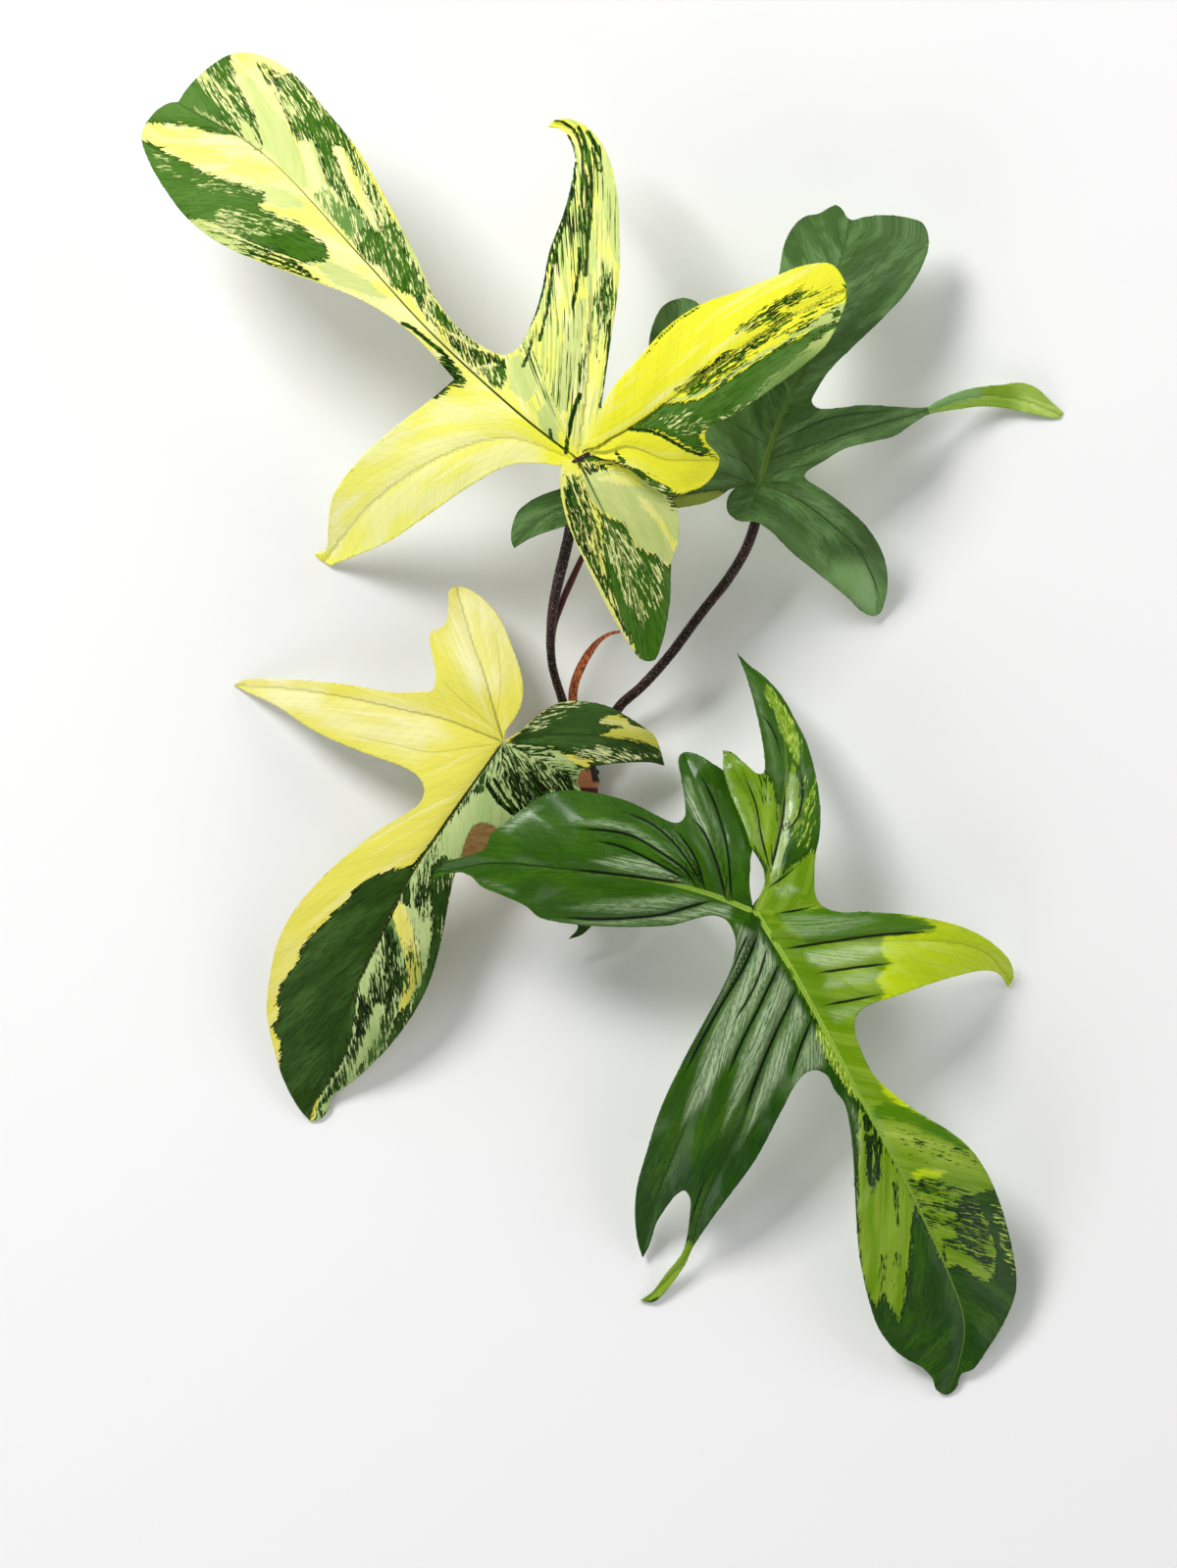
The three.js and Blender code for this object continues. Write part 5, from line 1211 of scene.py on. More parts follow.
UPPER_RIGHT["ribs"] = smooth_ribs([
    dict(slant=40, lean=0.7, vein_step=16, thick=1.3, glow=[1, 0.85, 0.4, 0.25, 0.25, 0.2],
        line=[(61.5, 123), (66, 138), (74, 158), (82, 178), (89, 198), (92, 210)]),
    dict(slant=10, glow=[0.2, 0], line=[(60, 124), (50, 140), (42, 155), (35, 170), (33, 183)]),
    dict(lean=1.4, vein_step=16, glow=[0.2, 0, 0.15, 0.1],
        line=[(59, 123.5), (45, 120.5), (20, 117.5), (0, 115.5), (-12, 111), (-21, 103)]),
    dict(slant=4, lean=1.6, vein_step=18, thick=1, glow=[0.2, 0],
        line=[(64, 124), (75, 131), (90, 139), (105, 143), (118, 147), (135, 152), (150, 151), (163, 146)]),
    dict(slant=8, glow=[0.25, 0],
        line=[(63.5, 121.5), (73, 118), (83, 111), (93, 101), (100, 90), (101.5, 80)]),
])
UPPER_RIGHT["creases"] = [
    (0.8, (1.2, 1.2), [(64, 135.5), (57, 140), (50, 144)]),
    (0.8, (1.2, 1.2), [(60, 124), (57, 129), (50, 132.5), (45, 136)]),
    (0.6, (1.1, 1.1), [(58, 123), (46, 127)]),
    (1.1, (1.5, 1.5), [(68, 137), (85, 144.5), (108, 147.5)]),
    (1.1, (1.4, 1.4), [(66, 131), (90, 139), (115, 146.5)]),
    (0.6, (1.2, 1.2), [(64, 125.5), (83, 130)]),
    (0.4, (1.2, 1.2), [(91, 185.5), (97, 191), (103, 198), (110, 205)]),
    (1, (1.2, 1.2), [(70, 119), (76, 116), (83, 111), (95, 100), (100, 90), (103, 81)]),
    (0.4, (1, 1), [(90, 116), (97, 108), (101, 98)]),
    # This crease along the slit between the knob and the strap carries a painted shadow as its dark line
    (1.6, (0.9, 0.9), [(60.5, 122.4), (57, 122), (52.8, 120.7)]),
]
UPPER_RIGHT["patches"] = [
    ("green", [(-60, 60), (118, 60), (118.5, 144), (118.5, 260), (-60, 260)]),
    ("mid", [(118, 151), (127, 154), (136, 156), (137, 152), (128, 149.5), (119.5, 147)]),
    ("pale", [(28, 110), (34, 113), (44, 115), (50, 119.5), (46, 120), (40, 118.6), (30, 117.6)]),
]
UPPER_RIGHT["cream"] = [(0.9, [(148, 160), (158, 156), (168, 146), (160, 142), (150, 146)])]
# Washes towards the mid tone: the first is a painted highlight along the lower lobe's lower edge, the second
# a painted highlight on that lobe's tip, and the third paints light over the middle, the knob and the strap,
# where the upper left leaf shades them
UPPER_RIGHT["shade"] = [
    (0.3, [(58, 111), (66, 106), (74, 98), (83, 91), (90, 84), (92, 92), (82, 100), (72, 108), (62, 114)]),
    (1, [(86, 96), (98, 96), (105, 86), (102, 74), (92, 82), (84, 90)]),
    (0.14, [(40, 162), (58, 162), (62, 128), (118, 149), (112, 141), (70, 126), (44, 126), (24, 160),
        (26, 186), (44, 186)]),
    (0.4, [(104, 180), (112, 189), (119, 199), (120, 206), (117, 210), (116, 201), (109, 190)]),
]
# Painted highlights: pale sheen at the lower lobe's tip and in a strip beside its rib
UPPER_RIGHT["sheen"] = [
    (0.35, [(92, 82), (97, 79.5), (100, 79), (102, 84), (98, 92), (94, 90)]),
    (0.25, [(72, 122), (84, 116), (92, 106), (90, 104), (82, 111), (72, 117)]),
]
upper_right_skin = leaf_skin(
    "upper_right_skin",
    [(128, 166, 40), (196, 222, 110), (126, 136, 36), (136, 180, 108), (69, 103, 45), (46, 74, 28),
        (168, 200, 150)],
    (26, 48, 10), (108, 140, 50), 0.36, 0.05, ragged=0.8, soft=1.6, rib_width=1.3, vein_shade=0.08,
    gloss=0.15,
)
grow_leaf(
    "upper_right", UPPER_RIGHT, upper_right_skin,
    ((150, 180, 84), (180, 200, 120)), (150, 172, 82),
)

# Left leaf: one half clear yellow, the other dark green and pale, marbled in streaks that fan out
# from the midrib. A narrow lobe passes under the lower right leaf.
LEFT = {"rib_groove": 0.5, "pleat": 0.35}
LEFT["outline"] = [(-25.3, 34.9, CORNER), (-24.6, 38.5), (-22, 42), (-19.8, 46.5), (-18.9, 52), (-19.7, 58),
    (-23.4, 68.8), (-26.8, 76.5), (-31.1, 81.9), (-37.5, 86.5), (-41.5, 87.3), (-43.9, 86), (-44.2, 80),
    (-44.8, 75.8), (-47, 73), (-50.2, 71.8), (-50.6, 69), (-49.3, 62), (-48.6, 55.4), (-49.8, 52),
    (-54, 51.4), (-64, 51.4), (-77.7, 53.8), (-95, 55.5), (-107, 56), (-114, 55.4), (-117.2, 53.7, CORNER),
    (-112.2, 51.2), (-102.4, 46.6), (-92.5, 39.9), (-84.7, 35.7), (-72, 30.5), (-60.1, 26.2), (-54.8, 23),
    (-52.5, 18.5), (-54, 13.7), (-60.8, 8.9), (-69.2, 3.6), (-81.9, -6.6), (-90.4, -15.1), (-97.5, -24),
    (-102.6, -34.5), (-105.2, -47), (-106, -57.5), (-103.5, -70), (-100.4, -80), (-95.3, -89.7),
    (-91.3, -94.4, CORNER), (-88.1, -93.8), (-85, -90.3), (-84.2, -86.6), (-75.1, -79.5), (-65.6, -70.2),
    (-57.4, -59.6), (-51.2, -48), (-47.1, -34.3), (-44.4, -20.7), (-42.2, -10.5), (-39.8, -3.5), (-37.6, 3),
    (-35.2, 6.3), (-31.8, 6.9), (-27.6, 5), (-20, -2), (-12, -12), (-5, -22), (-0.3, -28.5),
    (-3.6, -32.6, CORNER), (1, -31), (4.2, -28), (7, -20), (8, -8), (6.5, 5), (3, 14), (0, 19.5),
    (-0.2, 22.5), (1.7, 25.3), (6.8, 26.5), (17, 27.5), (24.8, 27.5), (29.1, 26.5, CORNER), (27.8, 31.5),
    (25.6, 36.7), (21.8, 39.6), (15.8, 43.5), (9.2, 46.8), (0.8, 48.3), (-6.9, 47.7), (-13.5, 43.8),
    (-20.1, 38.1), (-23.4, 36)]
LEFT["heights"] = [(-26, 34, 38), (-35, 21.5, 40), (-49.5, 1, 38), (-60, -16, 34), (-70, -36, 28),
    (-78, -55, 20), (-85, -75, 10), (-91.2, -94.2, 0.6), (-57, 11, 36), (-82, -7, 30), (-101, -31, 20),
    (-106, -57, 9), (-102, -75, 5), (-44, -20, 31), (-49, -41, 25), (-61, -65, 15), (-80, -83, 4),
    (-45, 42, 36), (-60, 45, 32), (-78, 48, 24), (-98, 51, 13), (-117, 53.7, 0.6), (-62, 51.2, 31),
    (-64, 28, 31), (-90, 38, 18), (-29, 46, 38), (-31, 58, 36), (-36, 68, 31), (-41, 84, 20), (-19, 52, 36),
    (-49, 60, 31), (-24.5, 73, 28), (-12, 38, 37), (0, 38, 33), (12, 37, 27), (22, 34, 21), (29, 27, 14),
    (0, 48, 29), (15, 43.5, 24), (6, 26.5, 30), (-18, 18, 35), (-10, 5, 29), (-2, -12, 21), (2, -26, 12),
    (-3.6, -32.6, 7)]
LEFT["creases"] = [
    (0.25, (0.6, 0.6), [(-27, 34), (-38, 32.5), (-50, 31), (-62, 33.5), (-76, 36.5)]),
    (0.25, (0.6, 0.6), [(-27.6, 38), (-33, 43), (-40, 49), (-46, 55)]),
    (0.2, (0.6, 0.6), [(-27.6, 44), (-26.6, 54.7), (-27, 62), (-28, 70)]),
    (0.25, (0.8, 0.8), [(-76, -29), (-70, -27.5), (-63, -24)]),
    (0.25, (0.8, 0.8), [(-94, -45), (-84, -38), (-78, -34)]),
]
LEFT["ribs"] = smooth_ribs([
    dict(slant=28, lean=0.8, thick=1.1, ink=[1, 1, 1, 1, 0.6, 0.15, 0],
        line=[(-26, 34), (-35, 21.5), (-49.5, 1), (-60, -16), (-70, -36), (-80, -60), (-91, -92)]),
    dict(lean=1.3, vein_step=16, ink=[0.35, 0.2, 0.1, 0],
        line=[(-27, 35), (-45, 42), (-60, 45.5), (-78, 49.5), (-98, 52.5), (-116, 53.7)]),
    dict(thick=0.8, ink=[0.5, 0.25, 0.1, 0], line=[(-26, 36), (-29, 46), (-32, 57), (-36, 68), (-41, 85)]),
    dict(vein_step=12, thick=0.8, ink=[0.1, 0],
        line=[(-24, 34.5), (-12, 36.5), (0, 37), (12, 35.5), (22, 32), (28.5, 27)]),
    dict(thick=0.7, line=[(-25, 33), (-17, 18), (-8, 2), (-1, -14), (1.5, -27)]),
])
LEFT["patches"] = [
    ("pale", [(-26, 34.5), (-35, 21.5), (-49.5, 1), (-60, -16), (-70, -36), (-80, -60), (-91, -97),
        (-60, -78), (-40, -40), (-36, 0), (-30, 3), (-20, -5), (0, -50), (20, -50), (15, -20), (10, 20),
        (0, 26), (-10, 34)]),
    ("marble", 0.6, [(-27, 34), (-33, 24), (-35, 18), (-29, 18), (-22, 9), (-15, 12), (-2, 14), (2, 26),
        (-8, 33)]),
    ("marble", 0.72, [(-25, 25), (-14, 24), (-2, 24), (-1, 13), (-14, 12), (-22, 14)]),
    ("stroke", 1.5, [(-31, 20), (-27.5, 14.5), (-22, 10)]),
    ("stroke", 1.1, [(-29, 22), (-25, 15.5), (-20.6, 11)]),
    ("stroke", 0.9, [(-5, 25), (-3.4, 22), (-2.3, 18.5)]),
    ("green", [(-37.6, 17), (-35, 19.4), (-32.6, 20.2), (-31.6, 18), (-34.6, 16.8)]),
    ("marble", 0.62, [(-35, 20.4), (-33, 20), (-37, 14), (-43, 8), (-47, 2), (-48, -8), (-52, -5), (-44, 8)]),
    ("marble", 0.6, [(-51, -1), (-47, -1), (-47, -12), (-50, -20), (-59, -20), (-61, -16), (-55, -6)]),
    ("green", [(-60.4, -15.5), (-58, -13.5), (-57, -17), (-57.4, -21.5), (-60.4, -21)]),
    ("marble", 0.66, [(-56, -17), (-51.5, -16.5), (-50.5, -24), (-53, -27), (-56.5, -21)]),
    ("mid", [(-64.5, -25), (-62.5, -24), (-60.5, -32), (-60.5, -39), (-64, -38), (-67, -31)]),
    ("marble", 0.7, [(-68, -32), (-64, -28), (-61, -36), (-59.4, -46), (-58, -54), (-60, -62), (-67, -66),
        (-71, -60), (-71.5, -50), (-69.5, -38)]),
    ("ground", [(-63.5, -24), (-61, -20), (-59, -21), (-57, -28), (-54.4, -35), (-53.6, -41), (-54.6, -47),
        (-57, -52), (-61, -58), (-59.8, -51), (-58.6, -45), (-58.8, -39), (-61, -32)]),
    ("marble", 0.42, [(-61, -26), (-56, -24), (-52, -44), (-60, -54)]),
    ("green", [(-50.7, -8), (-50.4, -20), (-50, -30), (-51.6, -40), (-54, -48), (-58.6, -58), (-45, -64),
        (-36, -30), (-36, -8), (-46, -4)]),
    ("scratch", 0.3, [(-50, -8), (-48, -38), (-40, -30), (-40, -8)]),
    ("marble", 0.76, [(-77, -58), (-74, -50), (-70, -56), (-62, -60), (-57, -56), (-60, -66), (-66, -74),
        (-76, -83), (-92, -98), (-88, -88), (-81, -76)]),
    ("green", [(-59, -55), (-55, -49), (-50, -50), (-58, -68), (-66, -76), (-69, -75), (-67, -70), (-64, -64),
        (-62, -58)]),
    ("pale", [(-69, -54), (-66, -55), (-68, -62), (-71.5, -70), (-78, -80), (-74.4, -71), (-71, -62)]),
    ("pale", [(-69, -74), (-76, -80), (-84, -86), (-88, -90.5), (-80, -90), (-66, -78)]),
    ("scratch", 0.42, [(-59, -55), (-55, -50), (-60, -68), (-68, -76), (-66, -68), (-62, -60)]),
    ("green", [(-52, -2), (-56, -7.3), (-60, -8), (-66, -9.5), (-70, -11), (-73, -12.5), (-75, -14.5),
        (-77.5, -16), (-77.8, -18.5), (-80.5, -21), (-83, -23), (-85, -25.5), (-89.5, -29.5), (-92, -32.5),
        (-94.5, -36), (-95, -39), (-98, -43), (-101.5, -48), (-102.5, -52), (-103.7, -55.2), (-101, -55.4),
        (-102.3, -59), (-103.9, -62.5), (-102, -66.5), (-101.2, -67), (-101.5, -72), (-102, -77),
        (-106, -100), (-92, -97), (-90, -89), (-85, -82), (-80, -74), (-77, -66), (-75.5, -58), (-74.5, -47),
        (-64, -25)]),
    ("green", [(-25, 34), (-20, 38), (-12, 45), (-4, 50), (12, 50), (26, 43), (36, 30), (29, 22), (16, 26),
        (4, 25), (3, 28.5), (-4, 30), (-9, 32.3), (-16, 33)]),
    ("scratch", 0.5, [(-22, 37), (-14, 43), (-8, 48), (0, 50), (4, 49), (-2, 45.5), (-8, 42), (-14, 38.4)]),
    ("scratch", 0.48, [(-2, 31.6), (10, 33), (20, 31.5), (27, 30), (20, 28), (8, 27.5), (-2, 29.5)]),
    ("ground", [(0.5, 28), (4, 29), (5, 27.8), (2, 27.2)]),
    ("ground", [(6.8, 41.5), (9, 42.7), (13, 43.4), (16.5, 42), (17.5, 40.4), (21, 39.8), (26, 38),
        (29.5, 34), (29.5, 30.4), (26, 33.3), (22, 34.5), (16, 35.6), (10, 36.2), (7.3, 37), (11, 38.5),
        (15, 39.4), (12, 40.2), (8, 40.6)]),
    ("green", [(8, -60), (6, -20), (-4, -26), (-8, -40), (-2, -60)]),
    ("stroke", 1, [(-38, 17), (-50, 0), (-56.5, -8), (-64, -25), (-70, -37), (-74.5, -46)]),
]
LEFT["cream"] = [
    (0.9, [(-122, 52), (-100, 58), (-86, 55), (-86, 42), (-102, 44)]),
    (0.8, [(-38, 88), (-24, 76), (-20, 60), (-28, 50), (-38, 54), (-46, 70), (-44, 84)]),
    (0.7, [(-90, 48), (-70, 50), (-52, 48), (-44, 36), (-56, 28), (-72, 34), (-88, 40)]),
    (0.3, [(-100, -30), (-108, -50), (-100, -56), (-92, -34)]),
    (0.3, [(-66, -20), (-56, -18), (-54, -38), (-60, -36)]),
]
LEFT["shade"] = [
    (0.1, [(-52, 51), (-42, 62), (-34, 56), (-28, 40), (-40, 43), (-56, 48)]),
    (0.55, [(-57, -37), (-52, -37), (-52, -52), (-58, -54)]),
    (0.45, [(-62, -64), (-70, -62), (-76, -76), (-88, -92), (-70, -84)]),
    (0.2, [(-22, 38), (-12, 46), (0, 50), (14, 47), (26, 39), (20, 34), (4, 34), (-12, 34)]),
    (0.25, [(18, 41), (26, 39), (31, 32), (27, 31), (20, 35)]),
]
left_skin = leaf_skin(
    "left_skin",
    [(227, 220, 90), (240, 236, 176), (174, 200, 126), (84, 122, 54), (42, 72, 18), (12, 27, 4),
        (200, 216, 170)],
    (56, 66, 14), (200, 204, 110), 0.45, 0, ragged=1.2, vein_shade=0.05, fold_shade=0.4,
)
grow_leaf("left", LEFT, left_skin, ((186, 192, 118), (206, 210, 150)), (190, 192, 110))

# Lower right leaf: the glossiest, thick and deeply pleated, dark green on its left half and lime on
# its right. Its narrow lobe turns over at the end, shown as a neck with the paler underside beyond it.
LOWER_RIGHT = {"rib_groove": 0.35, "pleat": 0.6}
LOWER_RIGHT["outline"] = [(59.1, -21.2, CORNER), (58.1, -15), (58.2, -8), (58.2, -3), (56.3, 4.3),
    (52.6, 13.6), (50.6, 18.5), (49.2, 23), (44.5, 27.8), (38.7, 30.8), (35.3, 30.8), (33.9, 29), (35, 21.6),
    (36.2, 13), (36, 9), (34.3, 7.2), (31.5, 7.2), (26.3, 9.6), (16.9, 14.2), (6.7, 16.9), (-2.8, 18),
    (-10.8, 16.9), (-18, 12.5), (-24.6, 7.4), (-30.2, 3, CORNER), (-31.8, -1.7), (-37, -4), (-44.2, -6),
    (-48.5, -9.5), (-49.8, -12.3, CORNER), (-45.6, -10.6), (-40, -9.8), (-36.5, -11.3), (-33, -14.6),
    (-26.7, -17.3), (-18, -21.3), (-13.7, -24.9), (-8, -26.5), (4, -28), (18, -28.4), (32, -27.7),
    (40, -25.5), (45.5, -24.5), (50, -26), (52.5, -30), (53.4, -35), (52, -42), (48.8, -49.3), (42.8, -60.4),
    (34.7, -75.4), (27.9, -89.9), (23.2, -104.4), (19.7, -117.3), (19.1, -127), (20.2, -136),
    (21.7, -140.8, CORNER), (24, -136.5), (26.4, -129), (29.5, -124), (33.4, -119.2), (36, -117.9),
    (37.8, -120.5), (37.6, -128), (36.4, -135.5), (35, -139.5), (29.6, -146.3), (25, -152.5),
    (20.7, -155.3, CORNER), (25.3, -155.9), (31.3, -150), (36.2, -143), (38.6, -137.6), (44.1, -129.2),
    (52.6, -117.7), (60.3, -107), (68.9, -90.8), (74, -81.4), (77.5, -77.8), (81, -77.1), (84.5, -79),
    (87, -83.9), (90.1, -87.9), (92.3, -97), (93.5, -110), (94.2, -125), (95.4, -140), (98.7, -155.7),
    (102.3, -165.5), (109, -173.6), (117, -178.4), (120.2, -181.8), (121.5, -185.6), (125.3, -187.4),
    (128.3, -185), (130, -180.3), (133.8, -178.8), (138.6, -172.3), (145.3, -161.1), (148.6, -151),
    (147.6, -139.5), (144, -125.1), (139.5, -113.5), (133.2, -104), (125.1, -97.3), (116.2, -91.9),
    (107.6, -85.6), (100.5, -78.9), (96.4, -71.3), (93.8, -63.5), (94.6, -58.3), (99, -54.8), (107, -52.1),
    (117.9, -48.2), (129.5, -44.7), (137.2, -43.2), (142.5, -44), (144.9, -47), (145.8, -48.8, CORNER),
    (147.5, -46), (146.8, -40.6), (141.8, -34.9), (133.3, -29.6), (124.1, -26.6), (112, -24.3), (98, -23.3),
    (88, -23.2), (82.5, -21), (80.4, -17.5), (80.1, -10), (80.4, -4), (81.8, 2.8), (82, 12), (81, 20.5),
    (77.6, 33.6), (73.3, 42.4), (68.7, 50.4), (62.6, 57.1), (58, 60.5), (53.7, 64.8, CORNER), (56.4, 58.5),
    (59.5, 48.2), (62.3, 35.5), (63.3, 27.5), (62.8, 24), (60.9, 23.7), (56.4, 27.2), (51.5, 31.2),
    (48.9, 31.6, CORNER), (50.2, 24.7), (53, 16), (57.6, 5), (59.9, -2.6), (62.9, -9.1), (63.4, -12.5),
    (61.8, -17.2)]
LOWER_RIGHT["heights"] = [(59.8, -23, 48), (44, -17, 52), (30, -14, 55), (10, -10.5, 55), (-10, -8, 52),
    (-30, -6.5, 48), (-49, -11.5, 41), (-14, 15, 47), (2, 17, 47), (20, 12, 49), (33, 8, 49), (-13, -24, 44),
    (15, -28, 46), (35, -27, 48), (47, -3, 50), (43, 12, 45), (38, 27, 38), (55, 8, 45), (51, 19, 41),
    (63, -14, 49), (67, 0, 49), (70, 15, 46), (71, 30, 40), (66, 48, 28), (54, 64.5, 14), (54, 22, 45),
    (50, 31, 42), (80, -33, 47), (100, -34, 42), (120, -34, 32), (135, -36, 20), (145, -43, 6),
    (145.8, -48.6, 0.6), (90, -23.5, 46), (115, -48.5, 36), (73, -44, 47), (85, -66, 44), (95, -85, 42),
    (107, -107, 38), (117, -127, 30), (126, -147, 20), (132, -166, 9), (125.3, -187.3, 0.6), (94, -120, 28),
    (98, -152, 16), (110, -174, 6), (148, -148, 12), (140, -115, 28), (120, -94.5, 38), (98.7, -75.8, 43),
    (57, -40, 46), (50, -60, 42), (44, -80, 37), (37, -100, 29), (29, -118, 18), (21.7, -140, 3),
    (45, -120, 22), (38, -135, 11), (28, -151, 3), (20.8, -155.4, 0.6), (70, -88, 36), (56, -112, 26),
    (80, -78, 43)]
LOWER_RIGHT["ribs"] = smooth_ribs([
    dict(slant=50, slant_right=28, lean=0.7, vein_step=16, thick=1.4, glow=[1, 1, 1, 0.9, 0.8, 0.7, 0.5, 0.3],
        ink=[0, 0, 0, 0.1, 0.2, 0.2, 0],
        line=[(60, -23), (73, -44), (85, -66), (95, -85), (107, -107), (117, -127), (126, -147), (131, -163),
            (129, -177), (125.6, -186)]),
    dict(slant=5, lean=1.3, vein_step=18, thick=1, glow=[1, 0.8, 0.3, 0.1, 0, 0, 0],
        ink=[0, 0, 0.1, 0.3, 0.6, 0.6, 0.3],
        line=[(58, -22.5), (44, -17), (30, -13.5), (10, -10.5), (-10, -8), (-30, -6.7), (-47, -9.5)]),
    dict(thick=0.8, glow=[0.15, 0], line=[(51, -19.5), (47.5, -6), (44.5, 6), (40, 18), (36.5, 28)]),
    dict(glow=[0.6, 0.4, 0.2, 0],
        line=[(60.5, -22), (64, -14), (66, -2), (69, 12), (70.5, 28), (67, 46), (56, 62)]),
    dict(slant=4, vein_step=12, thick=0.6, line=[(64, -14), (61.5, 4), (57, 18), (50, 30)]),
    dict(lean=1.3, line=[(66, -32), (85, -33.5), (105, -33), (125, -33.5), (138, -37), (146, -46)]),
    dict(slant=5, lean=1.3, vein_step=18,
        line=[(61, -26), (57, -42), (49, -62), (42, -82), (34, -102), (26, -122), (22, -138)]),
    dict(slant=5, lean=1.3, vein_step=18,
        line=[(72, -44), (66, -66), (59, -86), (50, -106), (42, -124), (37, -140), (24, -154)]),
])
LOWER_RIGHT["creases"] = [
    (1.6, (3.5, 0.9), [(44.5, -19.5), (37, -21.5), (28, -24), (10, -25.5), (-6, -25)]),
    (2.2, (4.5, 0.9), [(40, -14.5), (36, -9), (28, -3), (17, 3), (0, 5.3)]),
    (1.4, (3, 0.9), [(36, -12), (26, -6.5), (14, -1), (4, 1)]),
    (1.2, (2.4, 0.9), [(42, -14), (37, -6), (31, 1.5), (24, 7), (14, 11)]),
    (1.2, (2, 0.9), [(43, -15.5), (40, -6), (35, 2), (31, 6)]),
    (1.8, (4, 0.9), [(36, -13.5), (18, -11), (-4, -8.5)]),
    (1.4, (1, 3.5), [(50, -19), (46.5, -6), (41.5, 5), (37, 9.5)]),
    (1.2, (1, 3.5), [(52, -19), (50, 0), (45, 16), (40, 25)]),
    (2, (0.9, 4.5), [(71, -35.6), (84, -33.6), (100, -31.2), (120, -29.8)]),
    (1.8, (0.9, 4), [(82, -43.8), (95, -42), (107, -40.6)]),
    (1.2, (0.9, 3), [(68, -23.6), (76, -22.3), (81, -20.8)]),
    (1.4, (0.9, 3), [(84, -54.8), (94, -53), (104, -51)]),
    (2.2, (4, 0.9), [(61, -31), (56, -42), (50, -52), (42, -66), (36, -78)]),
    (2.2, (4, 0.9), [(68, -41), (61, -56), (55, -68), (50, -80)]),
    (2.2, (4, 0.9), [(73.5, -50.5), (67, -64), (61, -78), (56, -92)]),
    (1.6, (3, 0.9), [(79, -60), (75, -70), (72, -80)]),
    (1.2, (2.4, 0.9), [(58, -30), (55, -36), (51, -46)]),
    (1.2, (2.4, 0.9), [(64, -36), (60, -48), (52, -62)]),
    (0.8, (2, 1), [(43, -114), (40, -122), (37, -132)]),
    (1.6, (0.9, 3), [(65, -10), (67.5, 0), (69.5, 10), (70, 20)]),
    (1.2, (0.9, 3), [(64.6, -15), (70, -11), (75, -7)]),
    (1, (0.9, 2.5), [(70, 4), (74, 8), (76, 16), (75, 26)]),
    (0.9, (0.9, 2), [(64.5, -8), (62, 4), (60, 14), (56, 24)]),
    (0.7, (0.9, 2), [(62, 44), (66, 38), (69, 28)]),
]
LOWER_RIGHT["tucks"] = [
    ([(59.6, -6), (58.4, 1), (55, 10), (51.8, 19), (50, 25)], 6, (1.2, 0.5, -2), (-0.9, -0.4, 1)),
]
